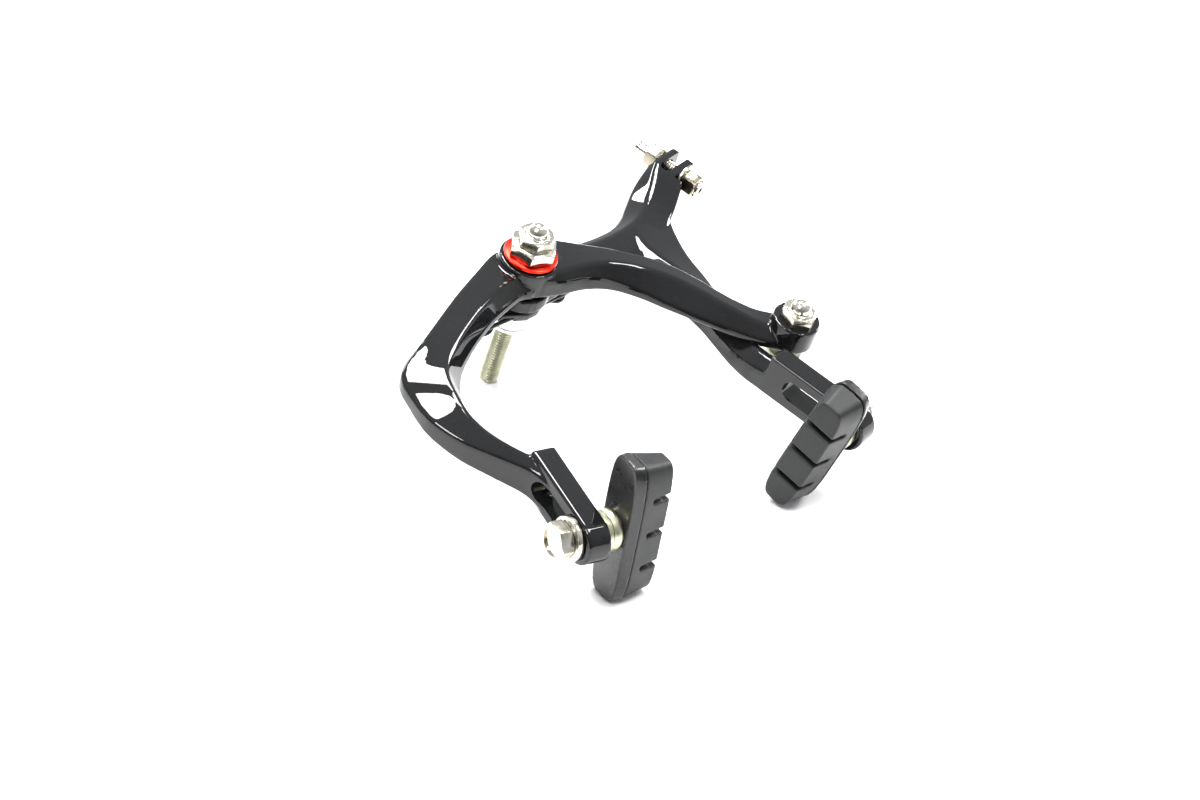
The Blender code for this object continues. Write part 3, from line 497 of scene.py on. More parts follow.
def section(outer_x, outer_y, inner_x, inner_y, share, outer_front, ridge, inner_front, back):
    """Ten points round a limb: its five corners, each cut off a little."""
    outer, inner = Vector((outer_x, outer_y, 0)), Vector((inner_x, inner_y, 0))
    crest = outer.lerp(inner, share)
    corners = [(outer, back), (outer, outer_front), (crest, ridge), (inner, inner_front), (inner, back)]
    corners = [at + Vector((0, 0, height)) for at, height in corners]
    points = []
    for k, corner in enumerate(corners):
        for neighbour in (corners[k - 1], corners[(k + 1) % CORNERS]):
            reach = min(CORNER_CUT / max((neighbour - corner).length, 0.01), MOST_CUT)
            points.append(corner.lerp(neighbour, reach))
    return points


def limb(stations):
    """A forged bar through its stations, in mm."""
    rings = [section(*row) for row in smooth_through(stations, RINGS_APART)]
    alone()
    bpy.ops.mesh.primitive_cylinder_add(vertices=SIDES, radius=1, depth=1)
    piece = bpy.context.object
    bpy.ops.object.mode_set(mode="EDIT")
    bpy.ops.mesh.select_mode(type="EDGE")
    bpy.ops.mesh.select_all(action="DESELECT")
    work = bmesh.from_edit_mesh(piece.data)
    for edge in work.edges:
        edge.select_set(abs(edge.verts[0].co.z - edge.verts[1].co.z) > 0.5)
    bmesh.update_edit_mesh(piece.data)
    bpy.ops.mesh.subdivide(number_cuts=len(rings) - 2)
    bpy.ops.object.mode_set(mode="OBJECT")
    for vertex in piece.data.vertices:
        ring = rings[round((vertex.co.z + 0.5) * (len(rings) - 1))]
        corner = math.floor(math.atan2(vertex.co.y, vertex.co.x) / (math.tau / SIDES)) % SIDES
        vertex.co = ring[corner] * MM
    return mend(piece)


def fuse(*parts):
    """Joins overlapping closed parts into one skin, and softens it."""
    alone()
    for part in parts:
        part.select_set(True)
    bpy.context.view_layer.objects.active = parts[0]
    bpy.ops.object.join()
    piece = bpy.context.object
    modify(piece, "REMESH", mode="VOXEL", voxel_size=VOXEL)
    return modify(piece, "SMOOTH", factor=0.5, iterations=SOFTENING)


def cross_rod(radius, x_low, x_high, y, z, sides):
    """A cylinder along X."""
    return moved(rod(radius, x_low, x_high, sides=sides), Matrix.Translation((0, y * MM, z * MM)) @ ABOUT_Y)


def strap(x_low, x_high, y_low, y_high, middle, half):
    """A shoe tab: a strap on edge with a round lower end, its thickness along X."""
    end = cross_rod(half, x_low, x_high, y_low + half, middle, 64)
    return [end, block((x_low, y_low + half, middle - half), (x_high, y_high, middle + half))]


def slot_cutter(x_low, x_high, y_low, y_high, middle, half):
    """A cutter for a slot with round ends."""
    ends = [cross_rod(half, x_low, x_high, y, middle, 40) for y in (y_low + half, y_high - half)]
    return ends + [block((x_low, y_low + half, middle - half), (x_high, y_high - half, middle + half))]


# %% [markdown]
# ## Sizes that both arms share
# Both arms have the same shoe tab and slot, so they come from one set of sizes. These are measured on the
# CAD pieces that bear on them, with the same clearance. In each arm's frame the arm hangs straight down.

# %% Sizes shared by both arms, measured on the CAD
GAP = 0.3
BORE = 3.35
SHOE_Y = (FRONT_ARM.inverted() @ LEFT_STUD.translation).y / MM
SHOE_Z = (FRONT_ARM.inverted() @ LEFT_STUD.translation).z / MM
TAB_INNER = span("left_cup_washer", LEFT_STUD)[1].z + GAP
TAB_OUTER = span("left_outer_washer", LEFT_STUD)[0].z - GAP
TAB_HALF = BORE + 3.45
TAB_END = SHOE_Y - 8.5
SLOT_TOP, SLOT_END = SHOE_Y + 21, SHOE_Y - 4.5
TAB_TOP = SLOT_TOP + 7
ANCHOR_AT = FRONT_ARM.inverted() @ ANCHOR.translation / MM
FORK_AT = REAR_ARM.inverted() @ ADJUSTER.translation / MM
print("shoe", round(SHOE_Y, 1), round(SHOE_Z, 1), "tab", round(TAB_INNER, 1), round(TAB_OUTER, 1))
print("anchor", [round(v, 1) for v in ANCHOR_AT], "fork", [round(v, 1) for v in FORK_AT])

# %% [markdown]
# ## Front arm
# The front arm is two limbs that meet in the pivot boss: the left leg, which bends at an elbow and ends in
# the shoe tab, and the branch, which sweeps right to the cable anchor. Each row is a station: the outer and
# inner edge (x, y), how far across the ridge lies, and the heights of outer edge, ridge, inner edge and back.

# %% Front arm
ARM_BACK, ARM_FACE, BOSS_RADIUS = -8.5, 0.05, 9.25
ANCHOR_BOSS_RADIUS, ANCHOR_BOSS_DEPTH = 7.4, 8.2
SLOT_SIDES = (20, 60)
left_leg = limb([
    (-2.0, 8.4, -2.0, -9.6, 0.80, -2.4, -1.8, -5.0, -8.5),
    (-9.0, 6.2, -6.0, -9.8, 0.76, -2.4, -1.6, -5.6, -8.5),
    (-17.0, 0.8, -12.0, -12.6, 0.72, -2.3, -1.4, -6.4, -8.5),
    (-28.0, -7.0, -20.4, -17.6, 0.68, -2.2, -1.2, -7.0, -8.5),
    (-39.0, -15.6, -30.4, -25.4, 0.66, -2.2, -1.1, -7.2, -8.5),
    (-49.0, -23.6, -38.2, -32.8, 0.66, -2.2, -1.1, -7.2, -8.5),
    (-57.4, -29.8, -42.2, -38.4, 0.68, -3.4, -0.8, -7.2, -8.6),
    (-60.6, -34.8, -44.2, -42.8, 0.72, -4.2, -0.8, -7.4, -8.8),
    (-61.0, -41.6, -45.2, -47.6, 0.74, -4.6, -1.1, -7.6, -9.2),
    (-60.2, -52.0, -44.6, -54.4, 0.70, -4.0, -1.7, -7.8, -10.0),
    (-55.0, -61.6, -42.2, -61.0, 0.66, -4.2, -2.4, -8.2, -11.4),
    (-47.6, -69.2, -38.0, -67.4, 0.60, -4.4, -2.8, -8.2, -13.0),
    (-40.6, -76.8, -33.4, -73.4, 0.55, -4.4, -3.2, -6.6, -14.2),
    (-38.2, -84.0, -31.4, -82.0, 0.50, -4.4, -3.6, -5.6, -14.6),
])
branch = limb([
    (2.0, 8.8, 1.0, -9.6, 0.88, -0.7, 0.0, -2.2, -8.5),
    (10.0, 7.4, 8.0, -10.0, 0.86, -0.8, 0.0, -2.8, -8.5),
    (19.0, 3.6, 17.0, -9.6, 0.78, -0.9, -0.1, -3.6, -8.6),
    (28.0, -0.2, 24.4, -11.2, 0.66, -1.2, -0.4, -4.8, -8.7),
    (37.0, -4.6, 31.6, -15.8, 0.56, -1.7, -0.8, -5.8, -8.9),
    (45.0, -10.0, 38.2, -22.4, 0.50, -2.3, -1.3, -6.4, -9.0),
    (51.6, -17.6, 45.4, -29.6, 0.50, -2.9, -1.9, -6.8, -9.1),
    (57.4, -25.8, 53.0, -37.2, 0.54, -3.5, -2.6, -6.8, -9.2),
    (64.0, -32.4, 61.0, -44.4, 0.62, -4.0, -3.4, -6.4, -9.2),
    (71.5, -36.2, 70.0, -49.4, 0.70, -4.2, -3.8, -5.6, -9.2),
])
boss = rod(BOSS_RADIUS, ARM_BACK, ARM_FACE)
anchor_boss = rod(ANCHOR_BOSS_RADIUS, ANCHOR_AT.z - ANCHOR_BOSS_DEPTH, ANCHOR_AT.z, at=ANCHOR_AT.xy)
left_tab = strap(-TAB_OUTER, -TAB_INNER, TAB_END, TAB_TOP, SHOE_Z, TAB_HALF)
front_arm = fuse(left_leg, branch, boss, anchor_boss, *left_tab)
left_slot = slot_cutter(-SLOT_SIDES[1], -SLOT_SIDES[0], SLOT_END, SLOT_TOP, SHOE_Z, BORE)
carve(front_arm, rod(BORE, -20, 20), rod(BORE, -30, 20, at=ANCHOR_AT.xy), *left_slot, solver="MANIFOLD")
place(front_arm, FRONT_ARM, "front_arm_forging", "c_arm", "gloss_black_arms", BLACK, "front_arm")

# %% [markdown]
# ## Rear arm
# The rear arm goes right from the pivot and splits: the fork limb rises to the cable adjuster, and the
# right leg drops to its shoe tab. The fork is cut after the fuse: a slit with a round end, one cross bore
# for the barrel, and a flat on both sides for the nuts to bear on.

# %% Rear arm
REAR_BACK, REAR_FACE, REAR_BOSS_RADIUS = -14.7, -10.1, 9.2
SLIT_HALF, SLIT_START, FORK_BORE, LUG_HALF = 1.8, 78.6, 2.85, 4.4
LUG_START, PAST_FORK, ABOVE_LUG, BELOW_LUG = 6, 120, 14, 12
fork_limb = limb([
    (-5.0, 8.2, -5.0, -8.2, 0.25, -10.9, -10.2, -10.9, -14.7),
    (8.0, 8.0, 8.0, -8.6, 0.25, -11.0, -10.2, -11.0, -14.7),
    (20.0, 5.2, 19.0, -8.6, 0.26, -11.4, -10.2, -11.0, -15.4),
    (33.0, 1.6, 31.0, -10.6, 0.28, -12.0, -10.2, -11.0, -17.6),
    (45.0, 0.4, 44.0, -12.0, 0.30, -12.8, -10.2, -11.0, -18.6),
    (54.0, 2.0, 58.0, -12.0, 0.36, -13.8, -10.1, -11.0, -18.6),
    (62.0, 5.4, 67.0, -8.8, 0.40, -14.2, -9.6, -10.4, -18.4),
    (70.0, 8.8, 74.0, -5.6, 0.36, -13.4, -8.2, -8.8, -17.2),
    (77.0, 10.4, 79.0, -2.8, 0.22, -10.4, -6.9, -7.4, -15.6),
    (81.5, 10.6, 82.5, -1.0, 0.12, -8.4, -6.5, -7.0, -15.0),
    (90.2, 10.2, 90.2, 0.2, 0.10, -7.4, -6.4, -6.9, -14.8),
])
right_leg = limb([
    (72.0, -3.0, 40.0, -5.0, 0.60, -10.8, -10.2, -11.6, -18.6),
    (65.6, -9.6, 38.0, -10.5, 0.60, -11.2, -10.2, -12.0, -18.6),
    (61.4, -15.6, 38.0, -16.6, 0.58, -11.4, -10.2, -12.6, -18.6),
    (57.6, -23.0, 39.4, -25.0, 0.54, -11.8, -10.2, -13.2, -18.6),
    (54.6, -32.0, 40.8, -33.6, 0.50, -12.0, -10.2, -13.6, -18.6),
    (50.4, -42.0, 39.8, -42.0, 0.46, -12.0, -10.2, -13.6, -18.6),
    (46.0, -52.5, 36.8, -50.6, 0.46, -11.6, -9.8, -13.2, -18.4),
    (42.6, -60.0, 33.6, -58.6, 0.46, -10.6, -8.8, -12.0, -17.8),
    (39.8, -67.0, 31.2, -66.0, 0.46, -9.0, -7.2, -10.0, -16.6),
    (38.2, -77.0, 30.6, -76.0, 0.46, -7.2, -5.6, -7.6, -15.6),
])
rear_boss = rod(REAR_BOSS_RADIUS, REAR_BACK, REAR_FACE)
right_tab = strap(TAB_INNER, TAB_OUTER, TAB_END, TAB_TOP, SHOE_Z, TAB_HALF)
rear_arm = fuse(fork_limb, right_leg, rear_boss, *right_tab)
fork_bore = moved(rod(FORK_BORE, -30, 30, sides=40), Matrix.Translation(FORK_AT * MM) @ ABOUT_X)
slit_end = rod(SLIT_HALF, -40, 20, at=(SLIT_START + SLIT_HALF, FORK_AT.y), sides=40)
slit = block((SLIT_START + SLIT_HALF, FORK_AT.y - SLIT_HALF, -40), (PAST_FORK, FORK_AT.y + SLIT_HALF, 20))
upper_flat = block((FORK_AT.x - LUG_START, FORK_AT.y + LUG_HALF, -40), (PAST_FORK, FORK_AT.y + ABOVE_LUG, 20))
lower_flat = block((FORK_AT.x - LUG_START, FORK_AT.y - BELOW_LUG, -40), (PAST_FORK, FORK_AT.y - LUG_HALF, 20))
right_slot = slot_cutter(*SLOT_SIDES, SLOT_END, SLOT_TOP, SHOE_Z, BORE)
carve(rear_arm, rod(BORE, -40, 20), fork_bore, slit_end, slit, upper_flat, lower_flat, *right_slot,
      solver="MANIFOLD")
place(rear_arm, REAR_ARM, "rear_arm_forging", "y_arm", "gloss_black_arms", BLACK, "rear_arm")

# %% [markdown]
# ## Turned and hexagonal hardware
# Nuts, washers and bolts are lathe work. Each round piece is one outline spun round its axis. A hexagon is
# a six-sided cylinder cut by a cone, which leaves the curved chamfer lines that a real nut has. Threads
# are cut into a finely ringed cylinder by moving each point along a spiral wave, because a row of plain
# grooves would show at the end of the bolt.

# %% Lathe and thread
THREAD_STEPS, THREAD_FADE = 6, 0.35
CAP_FLATS, SMALL_DOME = 2 * (BORE + 1.65), BORE - 0.1


def hexagon(flats, low, high, turn, chamfer=0.6, edge=0.14):
    """A hexagonal prism, its corners cut by a cone at both ends."""
    nut = moved(rod(flats / math.sqrt(3), low, high, sides=6), Matrix.Rotation(turn, 4, "Z"))
    wide, slope = flats / math.sqrt(3) + 0.02, 0.6 * chamfer
    outline = [(0, low), (wide - chamfer, low), (wide, low + slope), (wide, high - slope),
               (wide - chamfer, high), (0, high)]
    carve(nut, turned(outline, 72), operation="INTERSECT")
    return rounded(nut, edge)


def dome_profile(radius, low, high, steps=7):
    """A rounded cap from the axis at the top down to its rim, as (radius, height) points."""
    rise = min(radius, high - low)
    arc = [math.pi / 2 * k / steps for k in range(steps + 1)]
    return [(radius * math.sin(a), high - rise + rise * math.cos(a)) for a in arc] + [(radius, low), (0, low)]


def threaded(radius, depth, pitch, low, high, sides=48):
    """A bar with a spiral thread that fades out at both ends."""
    rings = int((high - low) / pitch * THREAD_STEPS)
    heights = [low + (high - low) * k / rings for k in range(rings + 1)]
    bar = turned([(0, low), *[(radius, h) for h in heights], (0, high)], sides)
    for vertex in bar.data.vertices:
        x, y, z = vertex.co / MM
        if math.hypot(x, y) < radius / 2:
            continue
        turn = (z / pitch + math.atan2(y, x) / math.tau) % 1
        fade = min(1.0, (z - low) / pitch, (high - z) / pitch)
        share = THREAD_FADE + (1 - THREAD_FADE) * fade
        cut = 1 - depth * share * (1 - abs(2 * turn - 1)) / radius
        if z - low < 0.01 or high - z < 0.01:
            cut = 1 - depth / radius
        vertex.co.x *= cut
        vertex.co.y *= cut
    return bar


def join_solids(base, *others):
    """Fuses solids, with a sharp corner between them."""
    return carve(base, *others, operation="UNION")


def ring(inner, outer, low, high, edge=0.25):
    """A washer with rounded rims."""
    bulge = 0.3 * edge
    outline = [(inner, low), (outer - edge, low), (outer - bulge, low + bulge), (outer, low + edge),
               (outer, high - edge), (outer - bulge, high - bulge), (outer - edge, high), (inner, high)]
    return turned(outline, 72)


# %% [markdown]
# ## Pivot stack
# From the front: an acorn nut that locks, a wide nut that sets the play, a red ring, the two arms with a
# washer between them, a rear washer, the spring holder and the spacer against the fork crown. Each takes
# its radius and both ends from its CAD node, so the stack cannot drift apart. The acorn nut is a hexagon,
# a collar and a dome fused together, because a dome set straight on a hexagon would lack the turned step.

# %% Pivot stack, front to back
def measured(node, matrix):
    """Radius, low end and high end of a round CAD node."""
    low, high = span(node, matrix)
    return (high.x - low.x) / 2, low.z, high.z


def dressed_washer(node, matrix, slot, finish, body, bore=BORE, edge=0.25):
    """A rounded washer in the place of its CAD node."""
    radius, low, high = measured(node, matrix)
    return place(ring(bore, radius, low, high, edge), matrix, node + "_turned", node, slot, finish, body)


def cap_nut(node, matrix, flats, hex_height, dome, turn, finish, body):
    """Acorn nut: hexagon, a collar turned into its top, and a dome."""
    _, low, high = measured(node, matrix)
    shelf = low + hex_height
    nut = hexagon(flats, low, shelf, turn, chamfer=0.75)
    top = dome_profile(dome, shelf - 0.6, high)
    collar = [(0, shelf - 0.5), (dome + 0.55, shelf - 0.5), (dome + 0.45, shelf + 0.12),
              (dome + 0.1, shelf + 0.3), (0, shelf + 0.3)]
    join_solids(nut, turned(collar, 56), turned(top, 56))
    carve(nut, rod(BORE, low - 1, shelf - 0.8, sides=40))
    return place(nut, matrix, node + "_acorn", node, "nickel_nuts", finish, body)


_, low, high = measured("pivot_adjusting_nut", CALIPER)
BIG_FLATS, BIG_TURN, CAP_TURN = 2 * (BORE + 3.15), math.radians(12), math.radians(20)
big_nut = hexagon(BIG_FLATS, low, high, BIG_TURN, chamfer=0.9)
carve(big_nut, rod(BORE, low - 1, high + 1, sides=40))
place(big_nut, CALIPER, "pivot_nut_hexagon", "pivot_adjusting_nut", "nickel_nuts", NICKEL, "centre_stack")
CAP_HEX = 3.3
cap_nut("pivot_cap_nut", CALIPER, CAP_FLATS, CAP_HEX, SMALL_DOME, CAP_TURN, NICKEL, "centre_stack")
dressed_washer("front_ring", CALIPER, "red_ring", RED, "centre_stack", edge=0.4)
dressed_washer("arm_washer", CALIPER, "zinc_steel", ZINC, "centre_stack")
dressed_washer("rear_washer", CALIPER, "zinc_steel", ZINC, "centre_stack")
radius, low, high = measured("crown_spacer", CALIPER)
RIM_CUT, RIM_WIDTH, WAIST_RUN, WAIST_DEPTH = 0.6, 1.6, 1.8, 0.25
spacer = turned([
    (BORE, low), (radius - RIM_CUT, low), (radius, low + RIM_CUT), (radius, low + RIM_WIDTH),
    (radius - WAIST_DEPTH, low + WAIST_RUN), (radius - WAIST_DEPTH, high - WAIST_RUN),
    (radius, high - RIM_WIDTH), (radius, high - RIM_CUT), (radius - RIM_CUT, high), (BORE, high)], 72)
place(spacer, CALIPER, "crown_spacer_turned", "crown_spacer", "silver_spacer", SILVER, "centre_stack")

# %% [markdown]
# ## Centre bolt
# The tail that goes through the fork crown shows its thread, so that end is threaded, and the shank that
# the arms turn on is plain. The nuts hide the front thread.

# %% Centre bolt
_, low, high = measured("centre_bolt", CALIPER)
BOLT, PITCH, BOLT_THREAD, INTO_SPACER = 3.0, 1.0, 0.42, 3
thread_end = span("crown_spacer", CALIPER)[0].z + INTO_SPACER
bolt = threaded(BOLT, BOLT_THREAD, PITCH, low, thread_end)
join_solids(bolt, rod(BOLT - 0.02, thread_end - 0.6, high, sides=48))
place(bolt, CALIPER, "centre_bolt_threaded", "centre_bolt", "zinc_steel", ZINC, "centre_stack")

# %% [markdown]
# ## Spring and its holder
# The return spring is one hard wire: straight through a slot in the holder, one open loop on each side,
# and out to the arms. A curve with a round bevel follows that path exactly, and is then made a mesh. The
# holder is a small pressed block with soft corners.

# %% Spring and holder
low, high = span("return_spring", CALIPER)
WIRE_RADIUS = 0.7
LOOP_X, LOOP_RADIUS, LOOP_DEPTH, LOOP_TURN, LOOP_STEPS = 15.5, 4.2, 2.4, math.radians(405), 40
ARM_RUN, ARM_END = Vector((6, 1.5, 0)), Vector((11.8, 1.0, 0.6))
wire_y, wire_z = low.y + WIRE_RADIUS, high.z - WIRE_RADIUS
half = [Vector((0, wire_y, wire_z))]
for k in range(LOOP_STEPS + 1):
    share = k / LOOP_STEPS
    angle = LOOP_TURN * share - math.pi / 2
    half.append(Vector((LOOP_X + LOOP_RADIUS * math.cos(angle), wire_y + LOOP_RADIUS * (1 + math.sin(angle)),
                        wire_z - LOOP_DEPTH * share)))
half += [half[-1] + ARM_RUN, half[-1] + ARM_END]
path = [Vector((-p.x, p.y, p.z)) for p in half[::-1]] + half[1:]
curve = bpy.data.curves.new("spring_wire", "CURVE")
curve.dimensions = "3D"
curve.bevel_depth = WIRE_RADIUS * MM
curve.bevel_resolution = 4
curve.use_fill_caps = True
line = curve.splines.new("POLY")
line.points.add(len(path) - 1)
for knot, point in zip(line.points, path):
    knot.co = (*(point * MM), 1)
wire = bpy.data.objects.new("spring_wire", curve)
bpy.context.scene.collection.objects.link(wire)
work_on(wire)
bpy.ops.object.convert(target="MESH")
place(mend(wire), CALIPER, "return_spring_wire", "return_spring", "spring_wire", WIRE, "centre_stack")

# %% Spring holder
low, high = span("spring_holder", CALIPER)
HOLDER_STRETCH, HOLDER_EDGE = 1.1, 0.9
holder = rod(high.y, low.z, high.z, sides=6)
for vertex in holder.data.vertices:
    vertex.co.x *= high.x / high.y * HOLDER_STRETCH
holder_end = block((-high.x, low.y, low.z), (high.x, high.y, high.z))
carve(holder, holder_end, operation="INTERSECT")
rounded(holder, HOLDER_EDGE, 3, 30)
slot_half = WIRE_RADIUS + GAP
carve(holder, rod(BORE, low.z - 1, high.z + 1, sides=40),
      block((-20, wire_y - slot_half, low.z - 2), (20, wire_y + slot_half, low.z + 2 * slot_half)))
place(holder, CALIPER, "spring_holder_block", "spring_holder", "satin_holders", SATIN, "centre_stack")

# %% [markdown]
# ## Cable anchor
# A bolt with a cross hole comes up through the end of the front arm. The clamp plate is a thick washer with
# one side cut straight, which keeps it from turning with the nut, so it is a disc intersected with a box.

# %% Cable anchor
low, high = span("anchor_bolt", ANCHOR)
HEAD_THICK, THREAD_DEPTH, CABLE_HOLE = 3.0, 0.4, 0.9
head_radius, head_top = (high.x - low.x) / 2, low.z + HEAD_THICK
head_profile = [(0, low.z), (head_radius - 1.1, low.z), (head_radius - 0.3, low.z + 0.4),
                (head_radius, low.z + 1.2), (head_radius, head_top), (0, head_top)]
pinch_bolt = turned(head_profile, 56)
join_solids(pinch_bolt, threaded(BOLT, THREAD_DEPTH, PITCH, head_top - 0.2, high.z))
clamp_low, clamp_high = span("anchor_clamp_plate", ANCHOR)
hole_at = Matrix.Translation((0, 0, (clamp_low.z - CABLE_HOLE) * MM)) @ ABOUT_X
carve(pinch_bolt, moved(rod(CABLE_HOLE, -10, 10, sides=24), hole_at))
place(pinch_bolt, ANCHOR, "pinch_bolt", "anchor_bolt", "zinc_steel", ZINC_ANCHOR, "cable_anchor")
clamp = rod(clamp_high.y, clamp_low.z, clamp_high.z, sides=64)
carve(clamp, block(clamp_low, clamp_high), operation="INTERSECT")
rounded(clamp, 0.3, 3)
carve(clamp, rod(BORE, clamp_low.z - 1, clamp_high.z + 1, sides=40))
place(clamp, ANCHOR, "cable_clamp_plate", "anchor_clamp_plate", "nickel_nuts", NICKEL_ANCHOR, "cable_anchor")
ANCHOR_NUT_TURN = math.radians(8)
cap_nut("anchor_nut", ANCHOR, CAP_FLATS, CAP_HEX, SMALL_DOME, ANCHOR_NUT_TURN, NICKEL_ANCHOR, "cable_anchor")

# %% [markdown]
# ## Cable adjuster
# The barrel is a hollow screw, threaded where it passes the fork and smooth at its slim upper tip, with
# one hexagon above the fork and one below.

# %% Cable adjuster
low, high = span("adjuster_barrel", ADJUSTER)
BARREL, BARREL_PITCH, BARREL_THREAD, CABLE_WAY = 2.5, 0.8, 0.3, 1.0
TIP, TIP_RUN, NECK_DEPTH = 2.1, 5.2, 0.35
tip_start = high.z - TIP_RUN
barrel = threaded(BARREL, BARREL_THREAD, BARREL_PITCH, low.z, tip_start)
tip_profile = [(0, tip_start - 0.4), (TIP, tip_start - 0.4), (TIP, high.z - 1.9),
               (TIP - NECK_DEPTH, high.z - 1.6), (TIP - NECK_DEPTH, high.z - 1.2), (TIP, high.z - 0.9),
               (TIP, high.z - 0.3), (TIP - 0.3, high.z), (0, high.z)]
join_solids(barrel, turned(tip_profile, 48))
carve(barrel, rod(CABLE_WAY, low.z - 1, high.z + 1, sides=32))
place(barrel, ADJUSTER, "barrel_screw", "adjuster_barrel", "nickel_nuts", NICKEL_BARREL, "barrel")
BARREL_RUN, BARREL_NUT_TURN = 2.85, math.radians(15)
for node, extra, body in (("adjuster_nut", 0.85, "adjusting_nut"), ("adjuster_locknut", 0.65, "rear_arm")):
    low, high = span(node, ADJUSTER)
    nut = hexagon(2 * (BARREL_RUN + extra), low.z, high.z, BARREL_NUT_TURN, chamfer=0.5)
    carve(nut, rod(BARREL_RUN, low.z - 1, high.z + 1, sides=40))
    place(nut, ADJUSTER, node + "_hexagon", node, "dark_steel", DARK_NUT, body)
dressed_washer("adjuster_washer", ADJUSTER, "nickel_nuts", NICKEL_BARREL, "rear_arm", BARREL_RUN, 0.2)

# %% [markdown]
# ## Brake shoes
# The rubber is moulded: a long block with boat-shaped ends, three grooves across its face that run on
# down its flanks, and soft edges everywhere. The holder behind it is a pressed steel tray with a threaded
# stud, and a convex and a concave washer let it tilt. The tray and the rubber are voxel remeshed and
# smoothed, so that grooves and edges get the rounding of a mould.

# %% Shoe shapes
SQUARENESS, FACE_SHORTER = 0.45, 1.2


def boat(length, low, high, near_half, far_half):
    """A bar along X with rounded ends, whose half width changes from its near to its far face."""
    bar = rod(1, low, high, sides=48)
    for vertex in bar.data.vertices:
        at = vertex.co / MM
        near = at.z < (low + high) / 2
        half = near_half if near else far_half
        angle = math.atan2(at.y, at.x)
        squared = [math.copysign(abs(v) ** SQUARENESS, v) for v in (math.cos(angle), math.sin(angle))]
        run = length / 2 - (FACE_SHORTER if near and near_half < far_half else 0)
        vertex.co.x, vertex.co.y = run * squared[0] * MM, half * squared[1] * MM
    return bar


def moulded(piece, rounds):
    """Gives every edge the small radius of a mould."""
    modify(piece, "REMESH", mode="VOXEL", voxel_size=0.34 * MM * 1)
    return modify(piece, "SMOOTH", factor=0.5, iterations=rounds)


# %% Rubber pad and its tray
GROOVES, GROOVE_HALF, GROOVE_DEPTH, FLANK_DEPTH = 3, 0.85, 3.0, 6.6
FACE_HALF, FLANK_FROM, PAST_FLANK, RUBBER_SHARP = 5.0, 4.6, 10, math.radians(60)
PLATE_THICK, PLATE_TAPER, BOSS_WIDE, BOSS_SLIM, BOSS_RISE = 3.4, 0.9, 6.4, 5.6, 0.15


def rubber_block(node, matrix, body):
    """The pad, with grooves across its face and deeper ones down both flanks."""
    low, high = span(node, matrix)
    rubber = boat(high.x - low.x, low.z, high.z, FACE_HALF, high.y)
    pitch = (high.x - low.x) / (GROOVES + 1)
    cuts = ((-PAST_FLANK, PAST_FLANK, GROOVE_DEPTH), (-PAST_FLANK, -FLANK_FROM, FLANK_DEPTH),
            (FLANK_FROM, PAST_FLANK, FLANK_DEPTH))
    for k in range(GROOVES):
        along = Matrix.Translation(((k - (GROOVES - 1) / 2) * pitch * MM, 0, 0))
        for y_low, y_high, depth in cuts:
            groove = block((-GROOVE_HALF, y_low, low.z - 2), (GROOVE_HALF, y_high, low.z + depth))
            carve(rubber, moved(groove, along))
    moulded(rubber, 4)
    return place(rubber, matrix, node + "_rubber", node, "pad_rubber", RUBBER, body, RUBBER_SHARP)


def tray(node, matrix, body):
    """Holder with its threaded stud."""
    low, high = span(node, matrix)
    plate_top = low.z + PLATE_THICK
    plate = boat(high.x - low.x, low.z, plate_top, high.y, high.y - PLATE_TAPER)
    boss = turned([(0, plate_top - 1), (BOSS_WIDE, plate_top - 1), (BOSS_SLIM, plate_top + BOSS_RISE),
                   (0, plate_top + BOSS_RISE)], 56)
    moulded(join_solids(plate, boss), 3)
    join_solids(plate, threaded(BOLT, THREAD_DEPTH, PITCH, plate_top - 1, high.z))
    return place(plate, matrix, node + "_tray", node, "satin_holders", SATIN, body)


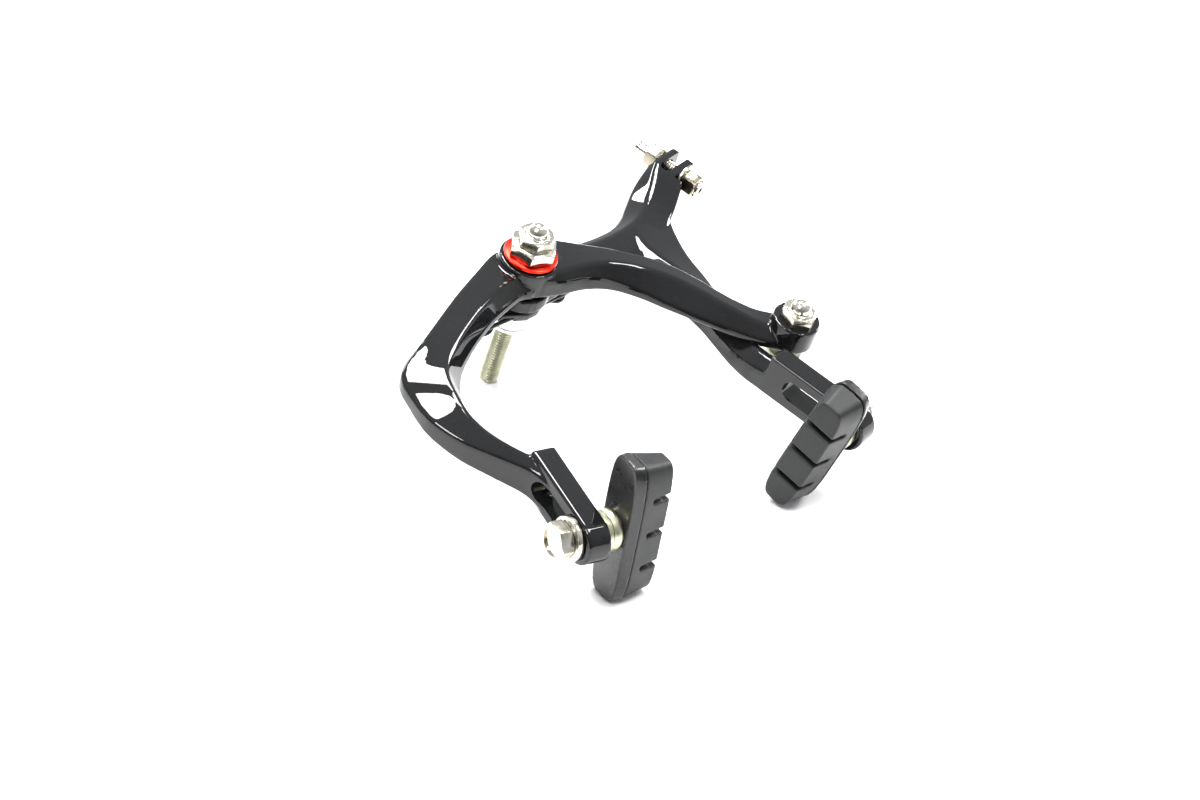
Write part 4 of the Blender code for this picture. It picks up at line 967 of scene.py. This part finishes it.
# %% Washers that let the shoe tilt
BALL_STEPS, BALL_NECK, BALL_BULGE = 8, 5.6, 0.7


def seat_washers(word, matrix, finish, body):
    """The convex and the concave washer between the holder and the tab."""
    radius, low, high = measured(word + "_ball_washer", matrix)
    bulge = []
    for k in range(BALL_STEPS + 1):
        share = k / BALL_STEPS
        swell = BALL_BULGE * math.sin(math.pi * share) * (1 - share / 2)
        bulge.append((min(BALL_NECK + swell, radius), low + (high - low) * share))
    ball = turned([(BORE, low)] + bulge + [(BORE, high)], 64)
    place(ball, matrix, word + "_ball_seat", word + "_ball_washer", "zinc_steel", finish, body)
    radius, low, high = measured(word + "_cup_washer", matrix)
    cup = turned([(BORE, low + 0.5), (BORE + 1.4, low + 0.25), (radius - 0.5, low), (radius, low + 0.4),
                  (radius, high - 0.3), (radius - 0.3, high), (BORE, high)], 64)
    place(cup, matrix, word + "_cup_seat", word + "_cup_washer", "zinc_steel", finish, body)


# %% Both shoes
SHOE_HEX, SHOE_DOME, SHOE_NUT_TURN = 4.2, BORE + 0.35, math.radians(10)
for word, stud, shoe, metal, seat in (("left", LEFT_STUD, LEFT_SHOE, NICKEL_LEFT, ZINC_LEFT),
                                      ("right", RIGHT_STUD, RIGHT_SHOE, NICKEL_RIGHT, ZINC_RIGHT)):
    body = word + "_clamp"
    rubber_block(word + "_pad", shoe, word + "_shoe")
    tray(word + "_pad_holder", shoe, word + "_shoe")
    seat_washers(word, stud, seat, body)
    dressed_washer(word + "_outer_washer", stud, "nickel_nuts", metal, body, edge=0.45)
    cap_nut(word + "_shoe_nut", stud, CAP_FLATS, SHOE_HEX, SHOE_DOME, SHOE_NUT_TURN, metal, body)

# %% [markdown]
# ## Table finish
# The table only has to catch soft shadows, so it is plain matt white. The last cell gives it that
# finish and hands the scene over.

# %% Table finish
TABLE_WHITE = (0.92, 0.92, 0.92)
white = Finish("white_table", Base_Color=TABLE_WHITE, Roughness=0.6)
table.data.materials.append(white.material)
print("table is", white.material.name)
